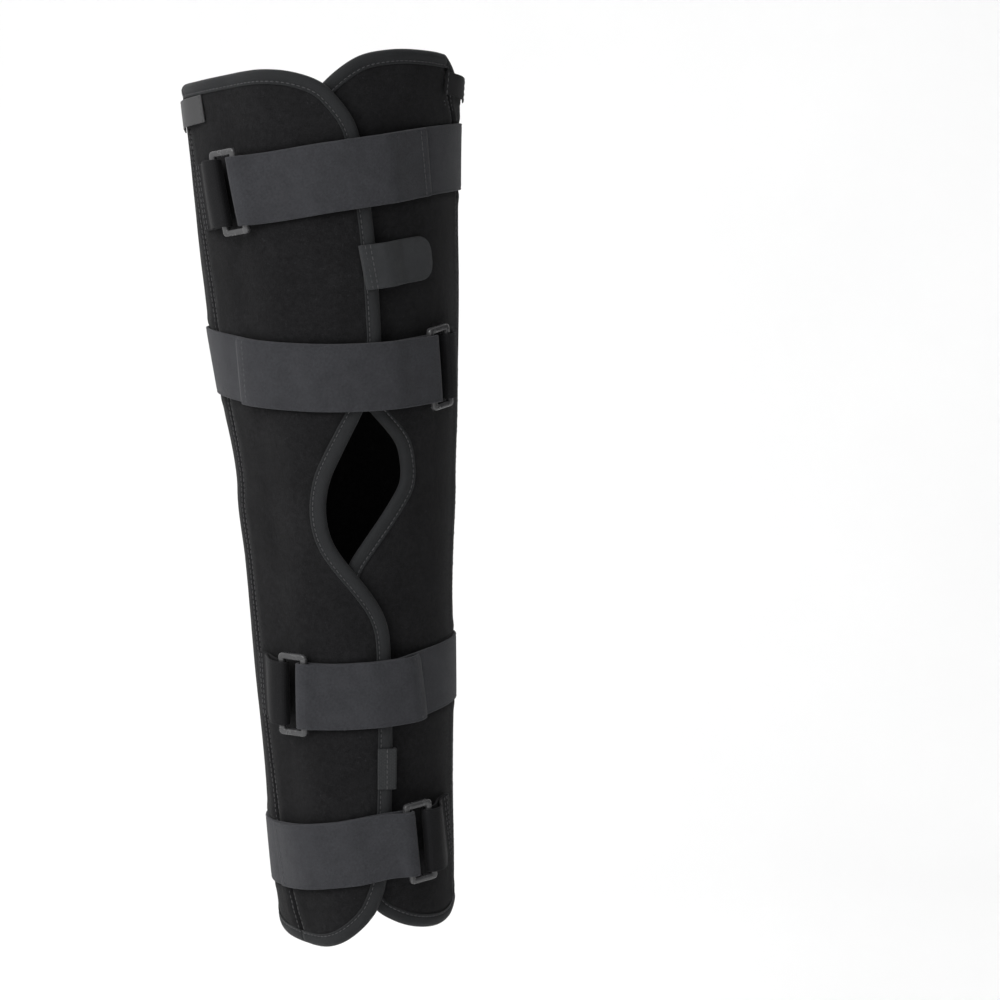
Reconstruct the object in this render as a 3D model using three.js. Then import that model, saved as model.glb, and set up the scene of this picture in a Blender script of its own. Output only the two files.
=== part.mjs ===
import * as THREE from 'three';

// Knee immobilizer: a padded wrap of three panels round a straight leg, closed by four straps.
// Lengths are in millimetres. +Z is up, the front faces -Y and the overlap's free edge is toward +X.
// The origin is the middle of the hollow at the height of the kneecap opening.
// A place on the wrap is an angle in degrees from the front's middle line, positive toward +X,
// a height z, and a distance out from the leg's skin.

// Leg form inside the wrap
const thighLength = 275;
const calfLength = 293;
const thighHalfWidth = 84.5;
const kneeHalfWidth = 66;
const ankleHalfWidth = 50;
const thighLean = -14;
const calfLean = 12;
const thighForward = -8;
const calfBack = 5;

// Sections of the leg: up is a share of the thigh's or the calf's length, swell the way from the knee's
// half width to the end's, deep the depth over the width, lean and bow shares of the end's shifts
const legSections = [
  { up: -1.00, swell: 1.00, deep: 1.02, lean: 0.97, bow: 1.00 },
  { up: -0.92, swell: 0.80, deep: 1.02, lean: 0.89, bow: 0.92 },
  { up: -0.70, swell: 0.63, deep: 1.03, lean: 0.64, bow: 0.70 },
  { up: -0.45, swell: 0.42, deep: 1.04, lean: 0.38, bow: 0.45 },
  { up: -0.30, swell: 0.32, deep: 1.03, lean: 0.23, bow: 0.28 },
  { up: -0.16, swell: 0.20, deep: 1.02, lean: 0.12, bow: 0.14 },
  { up: 0.00, swell: 0.00, deep: 1.00, lean: 0.00, bow: 0.00 },
  { up: 0.19, swell: 0.25, deep: 1.00, lean: 0.25, bow: 0.18 },
  { up: 0.41, swell: 0.53, deep: 1.00, lean: 0.56, bow: 0.40 },
  { up: 0.66, swell: 0.71, deep: 1.00, lean: 0.84, bow: 0.66 },
  { up: 0.83, swell: 0.83, deep: 1.00, lean: 0.96, bow: 0.83 },
  { up: 1.00, swell: 1.00, deep: 1.00, lean: 1.00, bow: 1.00 },
];

// Padded panels and the tape round their edges
const wall = 4;
const tape = 0.8;
const tapeWidth = 6.3;
const tapeFit = 0.5;
const fit = 0.3;
const seamGap = 0.4;
const layerGap = 0.6;

// Kneecap opening: how far each flap's free edge is cut back, and how tall the cut is either way
const overCutDepth = 36;
const overCutHalf = 96;
const underCutDepth = 54;
const underCutHalf = 112;

// The over flap climbs this far onto the under flap, over this width, this far before its free edge
const overLift = wall + 2 * (tapeFit + tape) + layerGap;
const rampWidth = 36;
const rampAhead = 3;
const rampParts = 4;
const rampTopUp = 0.69;

// Straps, with the loops and keepers that hold them
const strapWidth = 42;
const strapThick = 2;
const strapGap = 0.6;
const keeperThick = 1.5;
const keeperWidth = 41;
const loopWidth = 20;
const barWidth = 4;
const endBar = 4;
const barThick = 3.8;
const loopPlay = 1.3;
const barPlay = 0.5;
const skewHeld = 10;
const skewFade = 30;
const loopRound = { outer: 2.5, inner: 0.6, chamfer: 0.8 };
const barBend = 2;

// Steps of a strap's run in degrees, how many steps it can span when taut, and the places looked at
// under it: steps to either side, and shares of its width
const strapStep = 7;
const tautSteps = 12;
const nearSteps = [-1.3, -0.8, -0.4, 0, 0.4, 0.8, 1.3];
const widthShares = [-0.5, -0.25, 0, 0.25, 0.5];

// Stations of a keeper's run and how soon it settles onto the wrap
const keeperSteps = 5;
const keeperSettle = 1.3;

// Tabs: up is a share of the thigh's or the calf's length, start an angle
const upperTab = {
  up: 0.515, start: 15.8, length: 52.5, width: 27.5, thick: 1.8, corner: 11, drop: 18, tilt: 7,
};
const lowerTab = { up: -0.588, length: 10.5, width: 26.5, thick: 1.2, turn: 4, bend: 1 };
const sideTab = { length: 46, thick: 1 };
const leftTab = { side: -1, start: -54, up: 0.868, tilt: 8, width: 17, lift: 0, stand: 3.2 };
const rightTab = {
  side: 1, start: 61.5, up: 0.926, tilt: -6, width: 14, lift: tapeFit + tape, stand: 1.2,
};
const upperTabSteps = 14;
const lowerTabSteps = 3;
const sideTabSteps = 8;

// Rows of the padded panels: even steps of about this height, finer at the opening and at both ends
const rowStep = 21;
const openingRowStep = 11.5;

// Columns of the padded panels: how many lie in each part of a panel, and the share where a part ends
const overColumns = { side: 3, flat: 3 };
const underColumns = { front: 4, side: 4, split: 0.45 };
const backColumns = { side: 3, rest: 10, split: 0.15 };

// Outlines, in degrees and in shares of the thigh's or the calf's length
const leftSeam = [
  { up: -1.00, angle: -43 },
  { up: -0.88, angle: -51 },
  { up: -0.68, angle: -60 },
  { up: -0.26, angle: -65 },
  { up: 0.00, angle: -66 },
  { up: 0.40, angle: -64 },
  { up: 0.63, angle: -68 },
  { up: 0.92, angle: -76 },
];
const rightSeam = [
  { up: -0.93, angle: 86 },
  { up: 0.00, angle: 88 },
  { up: 0.36, angle: 87 },
  { up: 0.69, angle: 82 },
  { up: 0.83, angle: 75 },
  { up: 0.91, angle: 67 },
  { up: 0.985, angle: 63 },
];
const overFreeEdge = [
  { up: -0.905, angle: 8 },
  { up: -0.855, angle: 13.2 },
  { up: -0.79, angle: 16.5 },
  { up: -0.70, angle: 18.8 },
  { up: -0.50, angle: 21 },
  { up: -0.30, angle: 21.5 },
  { up: 0.35, angle: 21.8 },
  { up: 0.55, angle: 21.3 },
  { up: 0.69, angle: 19.3 },
  { up: 0.80, angle: 16.6 },
  { up: 0.84, angle: 14.2 },
  { up: 0.87, angle: 10.8 },
];
const underFreeEdge = [
  { up: -0.83, angle: -1 },
  { up: -0.78, angle: -4.3 },
  { up: -0.71, angle: -6 },
  { up: -0.32, angle: -6.5 },
  { up: 0.00, angle: -9.5 },
  { up: 0.35, angle: -13 },
  { up: 0.69, angle: -13 },
  { up: 0.76, angle: -11.2 },
  { up: 0.82, angle: -7.8 },
  { up: 0.87, angle: -3 },
];
const overTop = [
  { angle: -76, up: 0.92 },
  { angle: -62, up: 0.923 },
  { angle: -46, up: 0.931 },
  { angle: -30, up: 0.941 },
  { angle: -18, up: 0.945 },
  { angle: -7, up: 0.938 },
  { angle: 3.6, up: 0.914 },
  { angle: 10.8, up: 0.87 },
];
const overBottom = [
  { angle: -43, up: -0.992 },
  { angle: -34, up: -0.993 },
  { angle: -22, up: -0.988 },
  { angle: -10.5, up: -0.971 },
  { angle: 0.7, up: -0.938 },
  { angle: 8, up: -0.905 },
];
const underTop = [
  { angle: -3, up: 0.87 },
  { angle: 3.7, up: 0.914 },
  { angle: 11.4, up: 0.951 },
  { angle: 19.6, up: 0.977 },
  { angle: 30.4, up: 0.989 },
  { angle: 40, up: 0.992 },
  { angle: 55, up: 0.989 },
  { angle: 63, up: 0.985 },
];
const underBottom = [
  { angle: -1, up: -0.83 },
  { angle: 4, up: -0.872 },
  { angle: 11.3, up: -0.908 },
  { angle: 20.5, up: -0.929 },
  { angle: 31, up: -0.945 },
  { angle: 44, up: -0.956 },
  { angle: 60, up: -0.961 },
  { angle: 75, up: -0.954 },
  { angle: 86, up: -0.937 },
];
const backTop = [
  { angle: 63, up: 0.985 },
  { angle: 68, up: 0.967 },
  { angle: 76, up: 0.935 },
  { angle: 92, up: 0.908 },
  { angle: 120, up: 0.9 },
  { angle: 180, up: 0.898 },
  { angle: 240, up: 0.904 },
  { angle: 284, up: 0.92 },
];
const backBottom = [
  { angle: 86, up: -0.937 },
  { angle: 130, up: -0.927 },
  { angle: 190, up: -0.93 },
  { angle: 250, up: -0.955 },
  { angle: 290, up: -0.985 },
  { angle: 317, up: -0.992 },
];

// Kneecap cut of each flap: along is a share of the cut's half height, deep a share of its depth
const overCut = [
  { along: -1.00, deep: 0 },
  { along: -0.89, deep: 0.02 },
  { along: -0.76, deep: 0.12 },
  { along: -0.61, deep: 0.35 },
  { along: -0.44, deep: 0.68 },
  { along: -0.31, deep: 0.89 },
  { along: -0.17, deep: 0.99 },
  { along: -0.02, deep: 1 },
  { along: 0.12, deep: 0.92 },
  { along: 0.24, deep: 0.78 },
  { along: 0.40, deep: 0.57 },
  { along: 0.55, deep: 0.37 },
  { along: 0.78, deep: 0.13 },
  { along: 1.00, deep: 0 },
];
const underCut = [
  { along: -1.00, deep: 0 },
  { along: -0.83, deep: 0.01 },
  { along: -0.67, deep: 0.05 },
  { along: -0.52, deep: 0.14 },
  { along: -0.38, deep: 0.27 },
  { along: -0.31, deep: 0.38 },
  { along: -0.20, deep: 0.57 },
  { along: -0.12, deep: 0.71 },
  { along: -0.02, deep: 0.87 },
  { along: 0.07, deep: 0.99 },
  { along: 0.19, deep: 1.02 },
  { along: 0.28, deep: 1 },
  { along: 0.35, deep: 0.92 },
  { along: 0.47, deep: 0.73 },
  { along: 0.62, deep: 0.5 },
  { along: 0.80, deep: 0.22 },
  { along: 0.94, deep: 0.03 },
  { along: 1.00, deep: 0 },
];

// Straps from the top down: side is where the loop sits, -1 toward -X and 1 toward +X. Angles place the
// loop, the folded end on the front, the keeper's sewn end and the strap's sewn end on the back panel.
// Levels are shares of the thigh's or the calf's length, rise climbs toward +X and dip sags in front.
// Skew leans the loop's top toward +X, in degrees, with the strap and keeper beside it.
const straps = [
  { side: -1, level: 0.71, rise: 14, dip: 0, skew: 1.5, loop: -34.5, end: 50, keeper: -61, sewn: 256 },
  { side: 1, level: 0.271, rise: 0, dip: 6.5, skew: 0, loop: 54, end: -42.5, keeper: 72, sewn: -248 },
  { side: -1, level: -0.427, rise: 2.3, dip: 5.5, skew: 1, loop: -27.5, end: 40, keeper: -60, sewn: 256 },
  { side: 1, level: -0.771, rise: 10, dip: 0, skew: 5, loop: 33.2, end: -57, keeper: 68, sewn: -248 },
];

// Colours
const foamBlack = { color: 0x242425, roughness: 0.95 };
const tapeBlack = { color: 0x2e2f30, roughness: 0.8 };
const strapGrey = { color: 0x3e3f43, roughness: 0.9 };
const webbingBlack = { color: 0x28282a, roughness: 0.85 };
const loopGrey = { color: 0x4a4a4a, roughness: 0.45 };
const tabGrey = { color: 0x3a3b3c, roughness: 0.9 };
const satinGrey = { color: 0x585858, roughness: 0.6 };

// Reading a table: a smooth curve through its rows, level past both ends
function readTable(table, key, column, at) {
  const last = table.length - 1;
  if (at <= table[0][key]) {
    return table[0][column];
  }
  if (at >= table[last][key]) {
    return table[last][column];
  }
  let row = 0;
  while (table[row + 1][key] < at) {
    row += 1;
  }
  const slope = (i) => {
    const low = table[Math.max(i - 1, 0)];
    const high = table[Math.min(i + 1, last)];
    return (high[column] - low[column]) / (high[key] - low[key]);
  };
  const from = table[row];
  const to = table[row + 1];
  const span = to[key] - from[key];
  const t = (at - from[key]) / span;
  const rise = t * t * (3 - 2 * t);
  const leave = t * (1 - t) * (1 - t) * span * slope(row);
  const arrive = t * t * (t - 1) * span * slope(row + 1);
  return from[column] * (1 - rise) + to[column] * rise + leave + arrive;
}

const mix = (a, b, t) => a + (b - a) * t;
const ease = (t) => {
  const held = THREE.MathUtils.clamp(t, 0, 1);
  return held * held * (3 - 2 * held);
};
const heightOf = (up) => (up > 0 ? up * thighLength : up * calfLength);
const shareOf = (z) => (z > 0 ? z / thighLength : z / calfLength);

// Leg section at a height: half width, half depth and middle
function legAt(z) {
  const up = shareOf(z);
  const swell = readTable(legSections, 'up', 'swell', up);
  const farHalf = z > 0 ? thighHalfWidth : ankleHalfWidth;
  const half = mix(kneeHalfWidth, farHalf, swell);
  const lean = z > 0 ? thighLean : calfLean;
  const bow = z > 0 ? thighForward : calfBack;
  return {
    half,
    deep: half * readTable(legSections, 'up', 'deep', up),
    x: lean * readTable(legSections, 'up', 'lean', up),
    y: bow * readTable(legSections, 'up', 'bow', up),
  };
}

// Point of the wrap at an angle, a height and a distance out from the skin
function place(angle, z, out) {
  const leg = legAt(z);
  const turn = THREE.MathUtils.degToRad(angle);
  return new THREE.Vector3(
    leg.x + (leg.half + out) * Math.sin(turn),
    leg.y - (leg.deep + out) * Math.cos(turn),
    z,
  );
}

// Length round the wrap of one degree at a height, measured at the panels' outer face
function perDegree(z) {
  const leg = legAt(z);
  return THREE.MathUtils.degToRad((leg.half + leg.deep) / 2 + wall);
}

// Free edges of the flaps at a height, with the kneecap cut taken off
function overEdge(z) {
  const cut = overCutDepth * readTable(overCut, 'along', 'deep', z / overCutHalf);
  return readTable(overFreeEdge, 'up', 'angle', shareOf(z)) - cut / perDegree(z);
}

function underEdge(z) {
  const cut = underCutDepth * readTable(underCut, 'along', 'deep', z / underCutHalf);
  return readTable(underFreeEdge, 'up', 'angle', shareOf(z)) + cut / perDegree(z);
}

// How far the over flap stands off the skin: it climbs before the under flap's uncut free edge
const rampEnd = (z) => readTable(underFreeEdge, 'up', 'angle', Math.min(shareOf(z), rampTopUp))
  - (rampAhead + tapeFit + tape) / perDegree(z);
const rampStart = (z) => rampEnd(z) - rampWidth / perDegree(z);
const noLift = () => 0;
function overLiftAt(angle, z) {
  const climbed = THREE.MathUtils.clamp((angle - rampStart(z)) / (rampEnd(z) - rampStart(z)), 0, 1);
  const part = Math.min(Math.floor(climbed * rampParts), rampParts - 1);
  return overLift * mix(ease(part / rampParts), ease((part + 1) / rampParts), climbed * rampParts - part);
}

// Outer face of the wrap with its edge tape, as a distance out from the skin
function wrapTop(angle, z) {
  const taped = tapeFit + tape;
  const pastOver = (angle - overEdge(z)) * perDegree(z);
  const pastUnder = (underEdge(z) - angle) * perDegree(z);
  let top = wall;
  if (pastUnder < taped && pastUnder > -tapeWidth) {
    top = wall + taped;
  }
  if (pastOver < taped && angle > rampStart(z)) {
    const edging = pastOver > -tapeWidth ? taped : 0;
    top = Math.max(top, wall + overLiftAt(angle, z) + edging);
  }
  return top;
}

// Mesh building: a closed body from points and faces, turned to face outward
function closedBody(points, faces) {
  let volume = 0;
  for (const [a, b, c] of faces) {
    volume += points[a].dot(new THREE.Vector3().crossVectors(points[b], points[c]));
  }
  const turned = volume < 0 ? faces.map(([a, b, c]) => [a, c, b]) : faces;
  const geometry = new THREE.BufferGeometry();
  const coordinates = points.flatMap((p) => [p.x, p.y, p.z]);
  geometry.setAttribute('position', new THREE.Float32BufferAttribute(coordinates, 3));
  geometry.setIndex(turned.flat());
  geometry.computeVertexNormals();
  return geometry;
}

// Rings of points joined one to the next, with end caps or closed on itself
function joinRings(rings, capFaces) {
  const size = rings[0].length;
  const points = rings.flat();
  const faces = [];
  const joints = capFaces ? rings.length - 1 : rings.length;
  for (let k = 0; k < joints; k += 1) {
    const from = k * size;
    const to = ((k + 1) % rings.length) * size;
    for (let i = 0; i < size; i += 1) {
      const next = (i + 1) % size;
      faces.push([from + i, from + next, to + next], [from + i, to + next, to + i]);
    }
  }
  if (capFaces) {
    const end = (rings.length - 1) * size;
    for (const [a, b, c] of capFaces) {
      faces.push([a, c, b], [end + a, end + b, end + c]);
    }
  }
  return closedBody(points, faces);
}

const squareCaps = [[0, 1, 2], [0, 2, 3]];

// Rows of the panels: shares from the bottom edge to the top edge, the same for all three
function panelRows() {
  const bottom = heightOf(overBottom[0].up);
  const top = heightOf(overTop[0].up);
  const tall = top - bottom;
  const rows = [0, tapeWidth / tall];
  const stretches = [
    { to: -underCutHalf, step: rowStep },
    { to: underCutHalf, step: openingRowStep },
    { to: top - tapeWidth, step: rowStep },
  ];
  let from = bottom + tapeWidth;
  for (const { to, step } of stretches) {
    const count = Math.ceil((to - from) / step);
    for (let k = 1; k <= count; k += 1) {
      rows.push((mix(from, to, k / count) - bottom) / tall);
    }
    from = to;
  }
  rows.push(1);
  return rows;
}

// Grid of a panel between a left and a right side, each given by angle at a height, with shaped ends
function panelGrid({ left, right, bottom, top, columns }) {
  const first = bottom[0];
  const last = bottom[bottom.length - 1];
  const leftLow = heightOf(first.up);
  const rightLow = heightOf(last.up);
  const leftHigh = heightOf(top[0].up);
  const rightHigh = heightOf(top[top.length - 1].up);
  const endHeight = (table, across) => {
    const angle = mix(table[0].angle, table[table.length - 1].angle, across);
    return heightOf(readTable(table, 'angle', 'up', angle));
  };
  return panelRows().map((share) => {
    const leftZ = mix(leftLow, leftHigh, share);
    const rightZ = mix(rightLow, rightHigh, share);
    const leftAngle = left(leftZ);
    const rightAngle = right(rightZ);
    return columns(leftAngle, rightAngle, (leftZ + rightZ) / 2).map((angle) => {
      const across = (angle - leftAngle) / (rightAngle - leftAngle);
      const lowBend = endHeight(bottom, across) - mix(leftLow, rightLow, across);
      const highBend = endHeight(top, across) - mix(leftHigh, rightHigh, across);
      const z = mix(leftZ, rightZ, across) + mix(lowBend, highBend, share);
      return { angle, z };
    });
  });
}

// Angles from one to another in even steps, without the first
function evenAngles(from, to, count) {
  return Array.from({ length: count }, (_, k) => mix(from, to, (k + 1) / count));
}

// Padded panel: the grid at the skin side and at the outer side, closed round its rim
function paddedPanel(grid, lift) {
  const high = grid.length;
  const wide = grid[0].length;
  const atOut = (out) => ({ angle, z }) => place(angle, z, lift(angle, z) + out);
  const side = (out) => grid.flatMap((row) => row.map(atOut(out)));
  const points = [...side(wall), ...side(0)];
  const inner = high * wide;
  const at = (j, i) => j * wide + i;
  const faces = [];
  for (let j = 0; j + 1 < high; j += 1) {
    for (let i = 0; i + 1 < wide; i += 1) {
      const corners = [at(j, i), at(j, i + 1), at(j + 1, i + 1), at(j + 1, i)];
      const [a, b, c, d] = corners;
      faces.push([a, b, c], [a, c, d]);
      faces.push([inner + a, inner + c, inner + b], [inner + a, inner + d, inner + c]);
    }
  }
  const rim = rimOf(high, wide).map(([j, i]) => at(j, i));
  rim.forEach((a, k) => {
    const b = rim[(k + 1) % rim.length];
    faces.push([a, inner + a, b], [b, inner + a, inner + b]);
  });
  return closedBody(points, faces);
}

// Grid places round the rim: along the bottom, up the right, back along the top, down the left
function rimOf(high, wide) {
  const rim = [];
  for (let i = 0; i < wide - 1; i += 1) {
    rim.push([0, i]);
  }
  for (let j = 0; j < high - 1; j += 1) {
    rim.push([j, wide - 1]);
  }
  for (let i = wide - 1; i > 0; i -= 1) {
    rim.push([high - 1, i]);
  }
  for (let j = high - 1; j > 0; j -= 1) {
    rim.push([j, 0]);
  }
  return rim;
}

// Edge tape folded round a run of a panel's edge. The run keeps the panel on its left hand going along,
// and its ends lie along the side seams. A level run is folded straight up or down all along.
function edgeTape(run, lift, endWays, level = 0) {
  const rings = run.map((spot, k) => {
    const before = run[Math.max(k - 1, 0)];
    const after = run[Math.min(k + 1, run.length - 1)];
    const round = (after.angle - before.angle) * perDegree(spot.z);
    const climb = after.z - before.z;
    const long = Math.hypot(round, climb);
    let way = level ? { round: 0, climb: level } : { round: climb / long, climb: -round / long };
    if (k === 0) {
      way = endWays[0];
    } else if (k === run.length - 1) {
      way = endWays[1];
    }
    const point = (past, out) => {
      const angle = spot.angle + (past * way.round) / perDegree(spot.z);
      const z = spot.z + past * way.climb;
      return place(angle, z, lift(angle, z) + out);
    };
    const under = -tapeFit;
    const over = wall + tapeFit;
    return [
      point(-tapeWidth, over),
      point(-tapeWidth, over + tape),
      point(tapeFit + tape, over + tape),
      point(tapeFit + tape, under - tape),
      point(-tapeWidth, under - tape),
      point(-tapeWidth, under),
      point(tapeFit, under),
      point(tapeFit, over),
    ];
  });
  const caps = [[0, 1, 2], [0, 2, 7], [7, 2, 3], [7, 3, 6], [6, 3, 4], [6, 4, 5]];
  return joinRings(rings, caps);
}

// Outward way along a seam at the end of a run, up or down it
function seamWay(seam, z, upward) {
  const reach = upward ? -tapeWidth : tapeWidth;
  const round = (seam(z) - seam(z + reach)) * perDegree(z);
  const long = Math.hypot(round, reach);
  return { round: round / long, climb: -reach / long };
}

// Side seams, each panel kept half the seam's gap off the line
const leftSeamAt = (z) => readTable(leftSeam, 'up', 'angle', shareOf(z));
const rightSeamAt = (z) => readTable(rightSeam, 'up', 'angle', shareOf(z));
const halfGap = (z) => seamGap / 2 / perDegree(z);

// Panels
const overGrid = panelGrid({
  left: (z) => leftSeamAt(z) + halfGap(z),
  right: overEdge,
  bottom: overBottom,
  top: overTop,
  columns: (left, right, z) => [
    left,
    ...evenAngles(left, rampStart(z), overColumns.side),
    ...evenAngles(rampStart(z), rampEnd(z), rampParts),
    ...evenAngles(rampEnd(z), right - tapeWidth / perDegree(z), overColumns.flat),
    right,
  ],
});
const underGrid = panelGrid({
  left: underEdge,
  right: (z) => rightSeamAt(z) - halfGap(z),
  bottom: underBottom,
  top: underTop,
  columns: (left, right, z) => {
    const inset = left + tapeWidth / perDegree(z);
    const middle = mix(inset, right, underColumns.split);
    return [
      left,
      inset,
      ...evenAngles(inset, middle, underColumns.front),
      ...evenAngles(middle, right, underColumns.side),
    ];
  },
});
const backGrid = panelGrid({
  left: (z) => rightSeamAt(z) + halfGap(z),
  right: (z) => leftSeamAt(z) + 360 - halfGap(z),
  bottom: backBottom,
  top: backTop,
  columns: (left, right) => {
    const side = mix(left, right, backColumns.split);
    return [
      left,
      ...evenAngles(left, side, backColumns.side),
      ...evenAngles(side, right, backColumns.rest),
    ];
  },
});

// Runs of edge that carry tape
const topRow = (grid) => grid[grid.length - 1];
const overRun = [
  ...overGrid[0],
  ...overGrid.slice(1).map((row) => row[row.length - 1]),
  ...topRow(overGrid).toReversed().slice(1),
];
const underRun = [
  ...topRow(underGrid).toReversed(),
  ...underGrid.slice(0, -1).toReversed().map((row) => row[0]),
  ...underGrid[0].slice(1),
];
const backTopRun = topRow(backGrid).toReversed();
const backBottomRun = backGrid[0];
const atEnd = (seam, spot, upward) => seamWay(seam, spot.z, upward);

// A strap's middle line, and the point of it at an angle, across its width and out from the skin.
// Beside the loop the line is square to the loop, which fades with the distance from it.
const strapHeight = (strap, angle) => {
  const sine = Math.sin(THREE.MathUtils.degToRad(angle));
  const middle = heightOf(strap.level);
  const faded = ease((Math.abs(strap.loop - angle) - skewHeld) / skewFade);
  const slope = Math.tan(THREE.MathUtils.degToRad(strap.skew)) * (1 - faded);
  const square = slope * (strap.loop - angle) * perDegree(middle);
  return middle + strap.rise * sine + strap.dip * sine * sine + square;
};
function onStrap(strap, angle, across, out) {
  const z = strapHeight(strap, angle);
  const climb = strapHeight(strap, angle + 1) - strapHeight(strap, angle - 1);
  const tilt = Math.atan2(climb, 2 * perDegree(z));
  return place(angle - (across * Math.sin(tilt)) / perDegree(z), z + across * Math.cos(tilt), out);
}

// A strap pulled taut: raises each sample's distance out to the straight lines between its neighbours
function pullTaut(samples, z) {
  const leg = legAt(z);
  const ways = samples.map(({ angle }) => {
    const turn = THREE.MathUtils.degToRad(angle);
    return { x: Math.sin(turn), y: -Math.cos(turn) };
  });
  const at = (k, out) => ({ x: (leg.half + out) * ways[k].x, y: (leg.deep + out) * ways[k].y });
  const cross = (p, q) => p.x * q.y - p.y * q.x;
  return samples.map(({ angle, out }, k) => {
    let taut = out;
    for (let i = Math.max(k - tautSteps, 0); i < k; i += 1) {
      for (let j = k + 1; j <= Math.min(k + tautSteps, samples.length - 1); j += 1) {
        const from = at(i, samples[i].out);
        const to = at(j, samples[j].out);
        const line = { x: to.x - from.x, y: to.y - from.y };
        const foot = at(k, 0);
        const offset = cross(line, { x: foot.x - from.x, y: foot.y - from.y });
        taut = Math.max(taut, -offset / cross(line, ways[k]));
      }
    }
    return { angle, out: taut };
  });
}

// Highest face under a strap within a step or so either side of an angle
function highestUnder(strap, angle, step) {
  let top = 0;
  for (const near of nearSteps) {
    for (const across of widthShares) {
      const spot = angle + near * step;
      top = Math.max(top, wrapTop(spot, strapHeight(strap, spot) + across * strapWidth));
    }
  }
  return top;
}

// A flat band along a path of angles and distances out: its outline sideways, for each path point
function bandAlong(strap, path, width, thick) {
  const unit = perDegree(strapHeight(strap, strap.loop));
  const rings = path.map((spot, k) => {
    const before = path[Math.max(k - 1, 0)];
    const after = path[Math.min(k + 1, path.length - 1)];
    const along = (after.angle - before.angle) * unit;
    const climb = after.out - before.out;
    const long = Math.hypot(along, climb);
    const side = { angle: (-climb / long) * (thick / 2) / unit, out: (along / long) * (thick / 2) };
    const corner = (across, sign) => onStrap(
      strap,
      spot.angle + sign * side.angle,
      across * width / 2,
      spot.out + sign * side.out,
    );
    return [corner(-1, -1), corner(1, -1), corner(1, 1), corner(-1, 1)];
  });
  return joinRings(rings, squareCaps);
}

// Half turn round a loop's bar, from under it to over it, with two rounded corners
function roundBar(bar, way, sideways, wrapped, unit) {
  const spot = (along, high) => ({ angle: bar.angle + (way * along) / unit, out: bar.out + high });
  const arc = (sign, turns) => turns.map((turn) => {
    const bend = THREE.MathUtils.degToRad(turn);
    return spot(
      sideways - barBend + barBend * Math.cos(bend),
      sign * (wrapped - barBend) + barBend * Math.sin(bend),
    );
  });
  const entry = -barWidth / 2 - fit;
  return [spot(entry, -wrapped), ...arc(-1, [-90, -45, 0]), ...arc(1, [0, 45, 90]), spot(entry, wrapped)];
}

// A strap's run from its sewn end to a bar of its loop, pulled taut over the wrap
function baseRun(strap, barAngle) {
  const span = barAngle - strap.sewn;
  const count = Math.round(Math.abs(span) / strapStep);
  const step = Math.abs(span) / count;
  const rough = Array.from({ length: count + 1 }, (_, k) => {
    const angle = mix(strap.sewn, barAngle, k / count);
    return { angle, out: highestUnder(strap, angle, step) };
  });
  const taut = pullTaut(rough, strapHeight(strap, strap.loop));
  return taut.map(({ angle, out }) => ({ angle, out: out + strapGap + strapThick / 2 }));
}

// What the pieces of one strap's closing share: its base run and where the loop's two bars lie.
// The bars' distance out sets how many degrees lie between them, so it is found in a few rounds.
function closing(strap) {
  const leg = legAt(strapHeight(strap, strap.loop));
  const skin = (leg.half + leg.deep) / 2;
  const offset = (loopWidth - barWidth) / 2;
  const leaning = (barWidth * offset) / 2 / (skin + wall);
  const barHalf = barThick / 2 + barPlay + leaning;
  let barOut = wall + strapGap + strapThick + barHalf;
  let unit = 0;
  let base = [];
  for (let round = 0; round < 4; round += 1) {
    unit = THREE.MathUtils.degToRad(skin + barOut);
    base = baseRun(strap, strap.loop - (strap.side * offset) / unit);
    const [before, last] = base.slice(-2);
    const slope = Math.max(before.out - last.out, 0) / (Math.abs(last.angle - before.angle) * unit);
    barOut = last.out + slope * barWidth + strapThick / 2 + barHalf;
  }
  const strapBar = base[base.length - 1].angle;
  const keeperBar = 2 * strap.loop - strapBar;
  return { unit, skin, base, strapBar, keeperBar, leaning, barHalf, barOut };
}

// Strap: sewn on the back, round the leg, under and round the loop's bar, then back over itself
function strapBody(strap, shared) {
  const { unit, base, strapBar, leaning, barHalf, barOut } = shared;
  const step = Math.abs(base[1].angle - base[0].angle);
  const bar = { angle: strapBar, out: barOut };
  const wrapped = barHalf + strapThick / 2;
  const sideways = barWidth / 2 + barPlay + leaning + strapThick / 2;
  const turn = roundBar(bar, strap.side, sideways, wrapped, unit);
  const count = Math.round(Math.abs(strap.end - strapBar) / step);
  const rough = Array.from({ length: count + 1 }, (_, k) => {
    const angle = mix(strapBar, strap.end, k / count);
    const nearest = base.filter((spot) => Math.abs(spot.angle - angle) <= step * 1.01);
    const below = Math.max(...nearest.map((spot) => spot.out)) + strapThick + fit;
    return { angle, out: k === 0 ? barOut + wrapped : below };
  });
  const folded = pullTaut(rough, strapHeight(strap, strap.loop));
  return bandAlong(strap, [...base.slice(0, -1), ...turn, ...folded.slice(1)], strapWidth, strapThick);
}

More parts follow.
